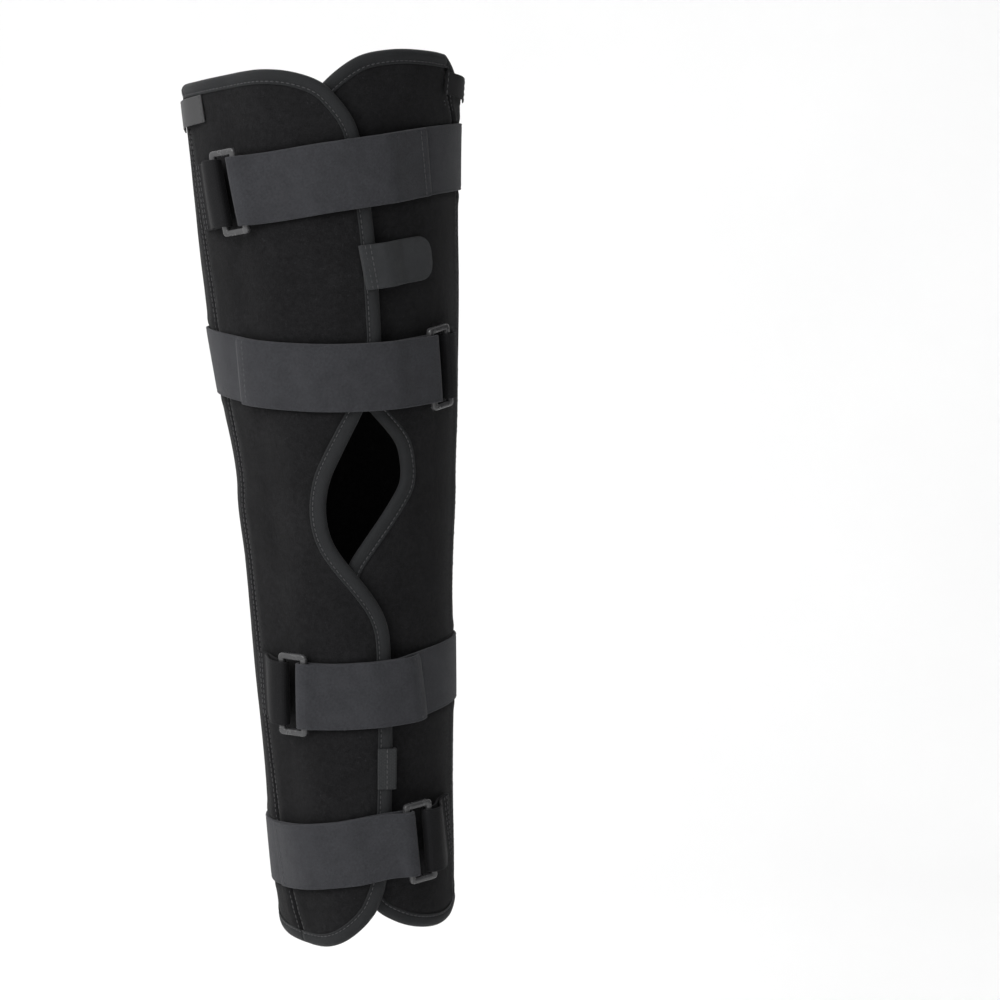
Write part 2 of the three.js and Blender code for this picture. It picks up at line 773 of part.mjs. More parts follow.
// Keeper: sewn to the side, round the loop's outer bar and back over itself
function keeperBody(strap, shared) {
  const { unit, keeperBar, leaning, barHalf, barOut } = shared;
  const wrapped = barHalf + keeperThick / 2;
  const low = wall + strapGap + keeperThick / 2;
  const high = low + keeperThick + fit;
  const sideways = barWidth / 2 + barPlay + leaning + keeperThick / 2;
  const bar = { angle: keeperBar, out: barOut };
  const turn = roundBar(bar, -strap.side, sideways, wrapped, unit);
  const start = keeperBar + (strap.side * (barWidth / 2 + fit)) / unit;
  const leg = (from, to) => Array.from({ length: keeperSteps }, (_, k) => {
    const share = (k + 1) / keeperSteps;
    return { angle: mix(start, strap.keeper, share), out: mix(from, to, ease(share * keeperSettle)) };
  });
  const path = [...leg(barOut - wrapped, low).toReversed(), ...turn, ...leg(barOut + wrapped, high)];
  return bandAlong(strap, path, keeperWidth, keeperThick);
}

// Rectangular loop lying flat on the wrap, square to its strap
function loopBody(strap, shared) {
  const { skin, barOut } = shared;
  const half = { across: loopWidth / 2, tall: strapWidth / 2 + loopPlay + endBar };
  const hole = { across: half.across - barWidth, tall: half.tall - endBar };
  const sag = (half.across - barWidth / 2) ** 2 / 2 / (skin + barOut);
  const lowEnd = onStrap(strap, strap.loop, -strapWidth / 2, barOut - sag);
  const highEnd = onStrap(strap, strap.loop, strapWidth / 2, barOut - sag);
  const middle = lowEnd.clone().lerp(highEnd, 0.5);
  const upward = highEnd.sub(lowEnd).normalize();
  const along = onStrap(strap, strap.loop + 1, 0, barOut).sub(onStrap(strap, strap.loop - 1, 0, barOut));
  const outward = new THREE.Vector3().crossVectors(along, upward).normalize();
  const across = new THREE.Vector3().crossVectors(upward, outward);
  const point = (x, y, high) => middle.clone()
    .addScaledVector(across, x)
    .addScaledVector(upward, y)
    .addScaledVector(outward, high);
  const { chamfer } = loopRound;
  const corners = [[1, -1, -90], [1, 1, 0], [-1, 1, 90], [-1, -1, 180]];
  const rings = corners.flatMap(([x, y, start]) => [0, 45, 90].map((turn) => {
    const way = THREE.MathUtils.degToRad(start + turn);
    const edge = (size, radius, inset) => [
      x * (size.across - radius) + (radius - inset) * Math.cos(way),
      y * (size.tall - radius) + (radius - inset) * Math.sin(way),
    ];
    const outer = edge(half, loopRound.outer, 0);
    const outerIn = edge(half, loopRound.outer, chamfer);
    const inner = edge(hole, loopRound.inner, 0);
    const innerOut = edge(hole, loopRound.inner, -chamfer);
    const face = barThick / 2;
    const shoulder = face - chamfer;
    return [
      point(...outer, -shoulder),
      point(...outer, shoulder),
      point(...outerIn, face),
      point(...innerOut, face),
      point(...inner, shoulder),
      point(...inner, -shoulder),
      point(...innerOut, -face),
      point(...outerIn, -face),
    ];
  }));
  return joinRings(rings, null);
}

// Tab lying on the wrap: a run of stations along it, each with its distance out and half width
function tabBody(place2d, stations, thick) {
  const rings = stations.map((spot, k) => {
    const before = stations[Math.max(k - 1, 0)];
    const after = stations[Math.min(k + 1, stations.length - 1)];
    const along = after.along - before.along;
    const climb = after.out - before.out;
    const long = Math.hypot(along, climb);
    const side = { along: (-climb / long) * (thick / 2), out: (along / long) * (thick / 2) };
    const corner = (across, sign) => place2d(
      spot.along + sign * side.along,
      across * spot.half,
      spot.out + sign * side.out,
    );
    return [corner(-1, -1), corner(1, -1), corner(1, 1), corner(-1, 1)];
  });
  return joinRings(rings, squareCaps);
}

// A tab's own flat axes on the wrap: along it and across it, turned by a tilt
function tabAxes(angle, z, tilt) {
  const turn = THREE.MathUtils.degToRad(tilt);
  return (along, across, out) => {
    const round = along * Math.cos(turn) - across * Math.sin(turn);
    const climb = along * Math.sin(turn) + across * Math.cos(turn);
    return place(angle + round / perDegree(z), z + climb, out);
  };
}

// Upper tab: sewn on the over flap's tape, it drops to the under flap and ends rounded
function upperTabBody() {
  const z = heightOf(upperTab.up);
  const { start, length, width, thick, corner, drop, tilt } = upperTab;
  const taped = tapeFit + tape;
  const high = wall + overLift + taped + fit + thick / 2;
  const low = wall + fit + strapGap + thick / 2;
  const slant = width * Math.sin(THREE.MathUtils.degToRad(tilt));
  const edge = (overEdge(z) - start) * perDegree(z) + taped + slant;
  const stations = Array.from({ length: upperTabSteps + 1 }, (_, k) => {
    const along = length * Math.sin((Math.PI / 2) * (k / upperTabSteps));
    const intoCorner = Math.max(0, (along - (length - corner)) / corner);
    const half = width / 2 - corner * (1 - Math.sqrt(Math.max(0, 1 - intoCorner ** 2)));
    return { along, out: mix(high, low, ease((along - edge) / drop)), half };
  });
  return tabBody(tabAxes(start, z, tilt), stations, thick);
}

// Lower tab: a short tab over the over flap's edge, turned down past it
function lowerTabBody() {
  const z = heightOf(lowerTab.up);
  const { length, width, thick, turn, bend } = lowerTab;
  const taped = tapeFit + tape;
  const edge = taped + strapGap + thick / 2;
  const slope = ((overEdge(z + width / 2) - overEdge(z - width / 2)) * perDegree(z)) / width;
  const tilt = -THREE.MathUtils.radToDeg(Math.atan(slope));
  const start = overEdge(z) - (length - edge) / perDegree(z);
  const high = wall + overLift + taped + fit + thick / 2;
  const flat = Array.from({ length: lowerTabSteps + 1 }, (_, k) => (
    { along: (k / lowerTabSteps) * (length - bend), out: high, half: width / 2 }
  ));
  const stations = [
    ...flat,
    { along: length, out: high - bend, half: width / 2 },
    { along: length, out: high - turn, half: width / 2 },
  ];
  return tabBody(tabAxes(start, z, tilt), stations, thick);
}

// Side tab: a loop of webbing over the top of a side seam, standing a little proud at its middle
function sideTabBody({ side, start, up, tilt, width, lift, stand }) {
  const { length, thick } = sideTab;
  const low = wall + lift + fit + thick / 2;
  const stations = Array.from({ length: sideTabSteps + 1 }, (_, k) => {
    const share = k / sideTabSteps;
    return { along: length * share, out: low + stand * Math.sin(Math.PI * share) ** 2, half: width / 2 };
  });
  const axes = tabAxes(start, heightOf(up), tilt);
  return tabBody((along, across, out) => axes(side * along, across, out), stations, thick);
}

// Assembly
const immobilizer = new THREE.Group();
function addPiece(name, geometry, finish) {
  const mesh = new THREE.Mesh(geometry, new THREE.MeshStandardMaterial({ ...finish, metalness: 0 }));
  mesh.name = name;
  immobilizer.add(mesh);
}

addPiece('back_panel', paddedPanel(backGrid, noLift), foamBlack);
addPiece('over_flap', paddedPanel(overGrid, overLiftAt), foamBlack);
addPiece('under_flap', paddedPanel(underGrid, noLift), foamBlack);

addPiece('over_flap_binding', edgeTape(overRun, overLiftAt, [
  atEnd(leftSeamAt, overRun[0], false),
  atEnd(leftSeamAt, overRun[overRun.length - 1], true),
]), tapeBlack);
addPiece('under_flap_binding', edgeTape(underRun, noLift, [
  atEnd(rightSeamAt, underRun[0], true),
  atEnd(rightSeamAt, underRun[underRun.length - 1], false),
]), tapeBlack);
addPiece('back_top_binding', edgeTape(backTopRun, noLift, [
  atEnd(leftSeamAt, backTopRun[0], true),
  atEnd(rightSeamAt, backTopRun[backTopRun.length - 1], true),
], 1), tapeBlack);
addPiece('back_bottom_binding', edgeTape(backBottomRun, noLift, [
  atEnd(rightSeamAt, backBottomRun[0], false),
  atEnd(leftSeamAt, backBottomRun[backBottomRun.length - 1], false),
], -1), tapeBlack);

straps.forEach((strap, k) => {
  const shared = closing(strap);
  addPiece(`strap_${k + 1}`, strapBody(strap, shared), strapGrey);
  addPiece(`buckle_${k + 1}`, loopBody(strap, shared), loopGrey);
  addPiece(`keeper_${k + 1}`, keeperBody(strap, shared), webbingBlack);
});

addPiece('flap_tab_upper', upperTabBody(), tabGrey);
addPiece('flap_tab_lower', lowerTabBody(), webbingBlack);
addPiece('side_tab_left', sideTabBody(leftTab), satinGrey);
addPiece('side_tab_right', sideTabBody(rightTab), webbingBlack);

export default immobilizer;
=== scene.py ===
"""Knee immobilizer, shown on the leg: padded flaps and back panel, edge tape, straps, loops, keepers and
tabs.
"""
import bisect
import logging
import math
from dataclasses import dataclass, field
from enum import Enum
from typing import Any, Callable, NamedTuple, Sequence

import bpy
import numpy as np
from bpy.types import Material, Node, NodeSocket, NodeTree, Object
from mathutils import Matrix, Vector, noise


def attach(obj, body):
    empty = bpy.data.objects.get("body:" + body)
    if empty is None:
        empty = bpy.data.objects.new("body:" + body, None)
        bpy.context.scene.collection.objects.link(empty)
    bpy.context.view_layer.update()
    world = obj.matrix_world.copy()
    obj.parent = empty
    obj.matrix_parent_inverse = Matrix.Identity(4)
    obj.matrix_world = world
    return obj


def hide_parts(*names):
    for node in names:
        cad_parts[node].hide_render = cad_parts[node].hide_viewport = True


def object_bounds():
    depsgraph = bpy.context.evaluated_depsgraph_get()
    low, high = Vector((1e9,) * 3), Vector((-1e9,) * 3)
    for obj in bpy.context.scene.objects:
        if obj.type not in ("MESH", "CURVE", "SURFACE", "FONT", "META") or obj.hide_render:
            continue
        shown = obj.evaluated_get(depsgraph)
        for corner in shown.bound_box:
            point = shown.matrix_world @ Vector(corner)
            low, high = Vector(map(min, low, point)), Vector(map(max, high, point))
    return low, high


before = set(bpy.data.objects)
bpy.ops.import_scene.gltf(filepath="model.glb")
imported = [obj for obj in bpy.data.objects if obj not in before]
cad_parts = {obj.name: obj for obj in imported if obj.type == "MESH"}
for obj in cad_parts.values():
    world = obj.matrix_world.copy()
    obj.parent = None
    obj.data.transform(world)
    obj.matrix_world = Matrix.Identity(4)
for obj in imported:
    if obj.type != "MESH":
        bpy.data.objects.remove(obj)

CAD_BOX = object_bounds()
LOG = logging.getLogger("immobilizer")

# Sizes are in millimetres until a point is placed; Blender's own lengths are metres
MM = 0.001
BODY = "root"

# Pairs of numbers, such as the angle and the distance out at each spot of a run
Spots = list[tuple[float, float]]


# Rows of the tables that the leg's form and the wrap's outline are read from
class LegSection(NamedTuple):
    """Section of the leg: height share, then shares of the swell, depth, lean and bow there."""

    up: float
    swell: float
    deep: float
    lean: float
    bow: float


class EdgeSpot(NamedTuple):
    """Spot on an upright edge: height share and angle in degrees."""

    up: float
    angle: float


class EndSpot(NamedTuple):
    """Spot on a top or bottom edge: angle in degrees and height share."""

    angle: float
    up: float


class CutSpot(NamedTuple):
    """Spot on a kneecap cut: share of its half height and share of its depth."""

    along: float
    deep: float


LEG_SECTIONS = [LegSection(*row) for row in (
    (-1.00, 1.00, 1.02, 0.97, 1.00),
    (-0.92, 0.80, 1.02, 0.89, 0.92),
    (-0.70, 0.63, 1.03, 0.64, 0.70),
    (-0.45, 0.42, 1.04, 0.38, 0.45),
    (-0.30, 0.32, 1.03, 0.23, 0.28),
    (-0.16, 0.20, 1.02, 0.12, 0.14),
    (0.00, 0.00, 1.00, 0.00, 0.00),
    (0.19, 0.25, 1.00, 0.25, 0.18),
    (0.41, 0.53, 1.00, 0.56, 0.40),
    (0.66, 0.71, 1.00, 0.84, 0.66),
    (0.83, 0.83, 1.00, 0.96, 0.83),
    (1.00, 1.00, 1.00, 1.00, 1.00),
)]
LEFT_SEAM = [EdgeSpot(*row) for row in (
    (-1.00, -43), (-0.88, -51), (-0.68, -60), (-0.26, -65), (0.00, -66), (0.40, -64), (0.63, -68),
    (0.92, -76),
)]
RIGHT_SEAM = [EdgeSpot(*row) for row in (
    (-0.93, 86), (0.00, 88), (0.36, 87), (0.69, 82), (0.83, 75), (0.91, 67), (0.985, 63),
)]
OVER_FREE_EDGE = [EdgeSpot(*row) for row in (
    (-0.905, 8), (-0.855, 13.2), (-0.79, 16.5), (-0.70, 18.8), (-0.50, 21), (-0.30, 21.5), (0.35, 21.8),
    (0.55, 21.3), (0.69, 19.3), (0.80, 16.6), (0.84, 14.2), (0.87, 10.8),
)]
UNDER_FREE_EDGE = [EdgeSpot(*row) for row in (
    (-0.83, -1), (-0.78, -4.3), (-0.71, -6), (-0.32, -6.5), (0.00, -9.5), (0.35, -13), (0.69, -13),
    (0.76, -11.2), (0.82, -7.8), (0.87, -3),
)]
OVER_TOP = [EndSpot(*row) for row in (
    (-76, 0.92), (-62, 0.923), (-46, 0.931), (-30, 0.941), (-18, 0.945), (-7, 0.938), (3.6, 0.914),
    (10.8, 0.87),
)]
OVER_BOTTOM = [EndSpot(*row) for row in (
    (-43, -0.992), (-34, -0.993), (-22, -0.988), (-10.5, -0.971), (0.7, -0.938), (8, -0.905),
)]
UNDER_TOP = [EndSpot(*row) for row in (
    (-3, 0.87), (3.7, 0.914), (11.4, 0.951), (19.6, 0.977), (30.4, 0.989), (40, 0.992), (55, 0.989),
    (63, 0.985),
)]
UNDER_BOTTOM = [EndSpot(*row) for row in (
    (-1, -0.83), (4, -0.872), (11.3, -0.908), (20.5, -0.929), (31, -0.945), (44, -0.956), (60, -0.961),
    (75, -0.954), (86, -0.937),
)]
BACK_TOP = [EndSpot(*row) for row in (
    (63, 0.985), (68, 0.967), (76, 0.935), (92, 0.908), (120, 0.9), (180, 0.898), (240, 0.904),
    (284, 0.92),
)]
BACK_BOTTOM = [EndSpot(*row) for row in (
    (86, -0.937), (130, -0.927), (190, -0.93), (250, -0.955), (290, -0.985), (317, -0.992),
)]
OVER_CUT = [CutSpot(*row) for row in (
    (-1.00, 0), (-0.89, 0.02), (-0.76, 0.12), (-0.61, 0.35), (-0.44, 0.68), (-0.31, 0.89),
    (-0.17, 0.99), (-0.02, 1), (0.12, 0.92), (0.24, 0.78), (0.40, 0.57), (0.55, 0.37), (0.78, 0.13),
    (1.00, 0),
)]
UNDER_CUT = [CutSpot(*row) for row in (
    (-1.00, 0), (-0.83, 0.01), (-0.67, 0.05), (-0.52, 0.14), (-0.38, 0.27), (-0.31, 0.38),
    (-0.20, 0.57), (-0.12, 0.71), (-0.02, 0.87), (0.07, 0.99), (0.19, 1.02), (0.28, 1), (0.35, 0.92),
    (0.47, 0.73), (0.62, 0.5), (0.80, 0.22), (0.94, 0.03), (1.00, 0),
)]


class Side(Enum):
    """Side of the wrap that a loop sits on, as the way along the angles."""

    LEFT = -1
    RIGHT = 1


class StitchKind(Enum):
    """How a row of stitches runs."""

    RUNNING = "running"
    ZIGZAG = "zigzag"


def mix(a: float, b: float, share: float) -> float:
    """Return the value at a share of the way from a to b."""
    return a + (b - a) * share


def held(value: float, low: float = 0.0, high: float = 1.0) -> float:
    """Return the value kept between low and high."""
    return max(low, min(high, value))


def ease(share: float) -> float:
    """Return a share eased in and out, held between 0 and 1."""
    t = held(share)
    return t * t * (3 - 2 * t)


def bump(distance: float, width: float) -> float:
    """Return a soft hump, 1 at no distance and near 0 past twice the width."""
    return math.exp(-((distance / width) ** 2))


class SmoothTable:
    """A smooth curve through the rows of a short table, level past both ends."""

    def __init__(self, rows: Sequence[NamedTuple], key: str, column: str) -> None:
        """Read one column of the rows against their key.

        Args:
            rows: the table, in rising order of its key.
            key: name of the column that is looked up.
            column: name of the column that is read.
        """
        self.keys = [float(getattr(row, key)) for row in rows]
        self.values = [float(getattr(row, column)) for row in rows]
        last = len(rows) - 1
        self.slopes = []
        for i in range(len(rows)):
            low, high = max(i - 1, 0), min(i + 1, last)
            self.slopes.append((self.values[high] - self.values[low]) / (self.keys[high] - self.keys[low]))

    def read(self, at: float) -> float:
        """Return the column's value at a place between the rows."""
        if at <= self.keys[0]:
            return self.values[0]
        if at >= self.keys[-1]:
            return self.values[-1]
        row = bisect.bisect_right(self.keys, at) - 1
        span = self.keys[row + 1] - self.keys[row]
        t = (at - self.keys[row]) / span
        rise = t * t * (3 - 2 * t)
        leave = t * (1 - t) * (1 - t) * span * self.slopes[row]
        arrive = t * t * (t - 1) * span * self.slopes[row + 1]
        return self.values[row] * (1 - rise) + self.values[row + 1] * rise + leave + arrive


@dataclass
class LegForm:
    """Form of the leg inside the wrap, and places on the wrap by angle, height and distance out."""

    thigh_length: float = 275.0
    calf_length: float = 293.0
    thigh_half: float = 84.5
    knee_half: float = 66.0
    ankle_half: float = 50.0
    thigh_lean: float = -14.0
    calf_lean: float = 12.0
    thigh_forward: float = -8.0
    calf_back: float = 5.0
    wall: float = 4.0
    known: dict[float, tuple[float, float, float, float]] = field(default_factory=dict)

    def __post_init__(self) -> None:
        """Make the curves of the leg's sections."""
        names = ("swell", "deep", "lean", "bow")
        self.curves = {name: SmoothTable(LEG_SECTIONS, "up", name) for name in names}

    def height(self, up: float) -> float:
        """Return the height of a share of the thigh's or the calf's length."""
        return up * (self.thigh_length if up > 0 else self.calf_length)

    def share(self, z: float) -> float:
        """Return the share of the thigh's or the calf's length at a height."""
        return z / (self.thigh_length if z > 0 else self.calf_length)

    def section(self, z: float) -> tuple[float, float, float, float]:
        """Return the half width, half depth and middle of the leg at a height."""
        key = round(z, 3)
        if key not in self.known:
            up = self.share(z)
            far = self.thigh_half if z > 0 else self.ankle_half
            half = mix(self.knee_half, far, self.curves["swell"].read(up))
            deep = half * self.curves["deep"].read(up)
            lean = self.thigh_lean if z > 0 else self.calf_lean
            bow = self.thigh_forward if z > 0 else self.calf_back
            middle = (lean * self.curves["lean"].read(up), bow * self.curves["bow"].read(up))
            self.known[key] = (half, deep, *middle)
        return self.known[key]

    def place(self, angle: float, z: float, out: float) -> Vector:
        """Return a point of the wrap in metres.

        Args:
            angle: degrees from the front's middle line, positive toward +X.
            z: height in millimetres.
            out: distance out from the skin in millimetres.

        Returns:
            The point in metres.
        """
        half, deep, x, y = self.section(z)
        turn = math.radians(angle)
        return Vector((
            (x + (half + out) * math.sin(turn)) * MM,
            (y - (deep + out) * math.cos(turn)) * MM,
            z * MM,
        ))

    def per_degree(self, z: float) -> float:
        """Return the length round the wrap of one degree at a height, in millimetres."""
        half, deep, _, _ = self.section(z)
        return math.radians((half + deep) / 2 + self.wall)


@dataclass
class WrapCut:
    """How the wrap is cut and lapped: free edges, kneecap cut, side seams and the over flap's climb."""

    leg: LegForm
    over_cut_depth: float = 36.0
    over_cut_half: float = 96.0
    under_cut_depth: float = 54.0
    under_cut_half: float = 112.0
    tape: float = 0.8
    tape_width: float = 6.3
    tape_fit: float = 0.5
    layer_gap: float = 0.6
    ramp_width: float = 36.0
    ramp_ahead: float = 3.0
    ramp_top_up: float = 0.69

    def __post_init__(self) -> None:
        """Make the curves of the edges and work out how far the over flap climbs."""
        self.over_free = SmoothTable(OVER_FREE_EDGE, "up", "angle")
        self.under_free = SmoothTable(UNDER_FREE_EDGE, "up", "angle")
        self.over_cut = SmoothTable(OVER_CUT, "along", "deep")
        self.under_cut = SmoothTable(UNDER_CUT, "along", "deep")
        self.left_table = SmoothTable(LEFT_SEAM, "up", "angle")
        self.right_table = SmoothTable(RIGHT_SEAM, "up", "angle")
        self.taped = self.tape_fit + self.tape
        self.over_lift = self.leg.wall + 2 * self.taped + self.layer_gap

    def over_edge(self, z: float) -> float:
        """Return the angle of the over flap's free edge at a height."""
        cut = self.over_cut_depth * self.over_cut.read(z / self.over_cut_half)
        return self.over_free.read(self.leg.share(z)) - cut / self.leg.per_degree(z)

    def under_edge(self, z: float) -> float:
        """Return the angle of the under flap's free edge at a height."""
        cut = self.under_cut_depth * self.under_cut.read(z / self.under_cut_half)
        return self.under_free.read(self.leg.share(z)) + cut / self.leg.per_degree(z)

    def left_seam(self, z: float) -> float:
        """Return the angle of the left side seam at a height."""
        return self.left_table.read(self.leg.share(z))

    def right_seam(self, z: float) -> float:
        """Return the angle of the right side seam at a height."""
        return self.right_table.read(self.leg.share(z))

    def ramp(self, z: float) -> tuple[float, float]:
        """Return the angles between which the over flap climbs onto the under flap."""
        step = self.leg.per_degree(z)
        end = self.under_free.read(min(self.leg.share(z), self.ramp_top_up))
        end -= (self.ramp_ahead + self.taped) / step
        return end - self.ramp_width / step, end

    def lift(self, angle: float, z: float) -> float:
        """Return how far the over flap stands off the skin."""
        start, end = self.ramp(z)
        return self.over_lift * ease((angle - start) / (end - start))

    def top(self, angle: float, z: float) -> float:
        """Return the wrap's outer face with its edge tape, as a distance out from the skin."""
        step = self.leg.per_degree(z)
        past_over = (angle - self.over_edge(z)) * step
        past_under = (self.under_edge(z) - angle) * step
        face = self.leg.wall
        if -self.tape_width < past_under < self.taped:
            face += self.taped
        if past_over < self.taped and angle > self.ramp(z)[0]:
            edging = self.taped if past_over > -self.tape_width else 0.0
            face = max(face, self.leg.wall + self.lift(angle, z) + edging)
        return face


# Meshes
def outward(points: np.ndarray, faces: list[tuple[int, ...]]) -> list[tuple[int, ...]]:
    """Return the faces of a closed mesh turned to point outward.

    Args:
        points: the mesh's points.
        faces: its faces, all turned one way.

    Returns:
        The faces as they are, or all turned round.
    """
    volume = 0.0
    for face in faces:
        a = points[face[0]]
        for b, c in zip(face[1:-1], face[2:]):
            volume += float(np.dot(a, np.cross(points[b], points[c])))
    return faces if volume > 0 else [tuple(reversed(face)) for face in faces]


def make_piece(name: str, points: Sequence[Vector], faces: list[tuple[int, ...]],
               material: Material, flat: np.ndarray | None = None) -> Object:
    """Make a smooth closed mesh object with its place in its mesh.

    Args:
        name: the object's name.
        points: the points in metres.
        faces: the faces, all turned one way.
        material: its finish.
        flat: for each point, its place on the piece laid flat, in metres.

    Returns:
        The new object.
    """
    places = np.array([tuple(p) for p in points])
    turned = outward(places - places.mean(axis=0), faces)
    mesh = bpy.data.meshes.new(name)
    mesh.from_pydata([tuple(p) for p in points], [], turned)
    mesh.validate()
    if flat is not None:
        corner_points = np.empty(len(mesh.loops), dtype=np.int32)
        mesh.loops.foreach_get("vertex_index", corner_points)
        layer = mesh.uv_layers.new(name="flat")
        layer.uv.foreach_set("vector", flat[corner_points].astype(np.float32).ravel())
    mesh.materials.append(material)
    mesh.shade_smooth()
    piece = bpy.data.objects.new(name, mesh)
    bpy.context.scene.collection.objects.link(piece)
    return piece


def loft(name: str, rings: list[list[Vector]], material: Material,
         flat: list[Spots] | None = None, capped: bool = True) -> Object:
    """Join rings of points one to the next into a closed piece.

    Args:
        name: the object's name.
        rings: the rings, all with as many points.
        material: its finish.
        flat: for each ring's points, their place on the piece laid flat.
        capped: whether the ends are closed, or the last ring joins the first.

    Returns:
        The new object.
    """
    size = len(rings[0])
    faces: list[tuple[int, ...]] = []
    spans = len(rings) - 1 if capped else len(rings)
    for k in range(spans):
        low = k * size
        high = ((k + 1) % len(rings)) * size
        for i in range(size):
            after = (i + 1) % size
            faces.append((low + i, low + after, high + after, high + i))
    if capped:
        end = (len(rings) - 1) * size
        faces.append(tuple(range(size - 1, -1, -1)))
        faces.append(tuple(range(end, end + size)))
    points = [p for ring in rings for p in ring]
    laid = None if flat is None else np.array([uv for ring in flat for uv in ring])
    return make_piece(name, points, faces, material, laid)


def settle(piece: Object, slot: str, *nodes: str) -> Object:
    """Fix a finished piece to the body and hide the nodes that it stands for."""
    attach(piece, BODY)
    if nodes:
        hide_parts(*nodes)
    return piece


# Finishes
def linear(code: int) -> tuple[float, float, float, float]:
    """Return a colour given as red, green and blue bytes in one number, as linear light."""
    def channel(shift: int) -> float:
        """Return one channel's linear value."""
        value = ((code >> shift) & 255) / 255
        return value / 12.92 if value <= 0.04045 else ((value + 0.055) / 1.055) ** 2.4
    return channel(16), channel(8), channel(0), 1.0


class Wiring:
    """A node tree being wired: adds nodes with their settings and values, and links them."""

    def __init__(self, tree: NodeTree) -> None:
        """Keep the tree that is wired."""
        self.tree = tree

    def add(self, kind: str, values: dict[Any, Any] | None = None, **settings: Any) -> Node:
        """Add a node.

        Args:
            kind: the node's type name.
            values: for each input by name or number, a value, or an output to link from.
            settings: the node's own settings.

        Returns:
            The new node.
        """
        node = self.tree.nodes.new(kind)
        for name, value in settings.items():
            setattr(node, name, value)
        for key, value in (values or {}).items():
            if isinstance(value, NodeSocket):
                self.tree.links.new(value, node.inputs[key])
            else:
                node.inputs[key].default_value = value
        return node

    def math(self, operation: str, first: Any, second: Any = None) -> NodeSocket:
        """Add a sum on numbers and return its result."""
        values = {0: first} if second is None else {0: first, 1: second}
        return self.add("ShaderNodeMath", values, operation=operation).outputs[0]

    def blend(self, share: Any, low: Any, high: Any) -> NodeSocket:
        """Add a mix of two colours by a share and return the colour."""
        node = self.add("ShaderNodeMix", {0: share, 6: low, 7: high}, data_type="RGBA")
        return node.outputs[2]

    def spread(self, value: Any, low: float, high: float) -> NodeSocket:
        """Spread the range from low to high of a value over 0 to 1 and return it."""
        values = {"Value": value, "From Min": low, "From Max": high}
        return self.add("ShaderNodeMapRange", values).outputs["Result"]


def shared_group(name: str, inputs: dict[str, tuple[str, Any]], outputs: Sequence[str],
                 wire: Callable[[Wiring, Node, Node], None]) -> NodeTree:
    """Build a shader node group once, with named inputs and outputs.

    Args:
        name: the group's name.
        inputs: for each input's name, its socket type and default value.
        outputs: names of the number outputs.
        wire: wires the group between its input and output nodes.

    Returns:
        The group, built now or before.
    """
    known = bpy.data.node_groups.get(name)
    if known is not None:
        return known
    tree = bpy.data.node_groups.new(name, "ShaderNodeTree")
    for label, (kind, value) in inputs.items():
        socket = tree.interface.new_socket(label, in_out="INPUT", socket_type=kind)
        if value is not None:
            socket.default_value = value
    for label in outputs:
        tree.interface.new_socket(label, in_out="OUTPUT", socket_type="NodeSocketFloat")
    wiring = Wiring(tree)
    source = wiring.add("NodeGroupInput")
    sink = wiring.add("NodeGroupOutput")
    wire(wiring, source, sink)
    return tree


def nap_group() -> NodeTree:
    """Return the group for a short fibre nap: a fine grain with a broad unevenness."""
    def wire(w: Wiring, source: Node, sink: Node) -> None:
        """Wire the grain and the unevenness."""
        place, scale = source.outputs["Place"], source.outputs["Scale"]
        fine = w.add("ShaderNodeTexNoise", {"Vector": place, "Scale": scale, "Detail": 4.0,
                                            "Roughness": 0.7, "Distortion": 0.6})
        coarse_scale = w.math("MULTIPLY", scale, 0.28)
        coarse = w.add("ShaderNodeTexNoise", {"Vector": place, "Scale": coarse_scale, "Detail": 2.0})
        broad_scale = w.math("MULTIPLY", scale, 0.03)
        broad = w.add("ShaderNodeTexNoise", {"Vector": place, "Scale": broad_scale, "Detail": 2.0})
        both = w.math("ADD", w.math("MULTIPLY", fine.outputs[0], 0.65),
                      w.math("MULTIPLY", coarse.outputs[0], 0.35))
        w.tree.links.new(w.spread(both, 0.36, 0.68), sink.inputs["Grain"])
        w.tree.links.new(w.spread(broad.outputs[0], 0.3, 0.7), sink.inputs["Broad"])
    inputs = {"Place": ("NodeSocketVector", None), "Scale": ("NodeSocketFloat", 1200.0)}
    return shared_group("fibre_nap", inputs, ("Grain", "Broad"), wire)


def lint_group() -> NodeTree:
    """Return the group for stray pale fibres: sparse short threads of two turns."""
    def wire(w: Wiring, source: Node, sink: Node) -> None:
        """Wire thin bands of a warped noise, kept only in small patches."""
        place, scale = source.outputs["Place"], source.outputs["Scale"]
        warped = w.add("ShaderNodeTexNoise", {"Vector": place, "Scale": scale, "Detail": 1.0,
                                              "Distortion": 1.6})
        band = w.math("ABSOLUTE", w.math("SUBTRACT", warped.outputs[0], 0.5))
        thread = w.spread(band, 0.022, 0.004)
        patch_scale = w.math("MULTIPLY", scale, 0.7)
        patches = w.add("ShaderNodeTexNoise", {"Vector": place, "Scale": patch_scale, "Detail": 2.0})
        kept = w.spread(patches.outputs[0], 0.6, 0.68)
        w.tree.links.new(w.math("MULTIPLY", thread, kept), sink.inputs["Fibres"])
    inputs = {"Place": ("NodeSocketVector", None), "Scale": ("NodeSocketFloat", 500.0)}
    return shared_group("stray_lint", inputs, ("Fibres",), wire)


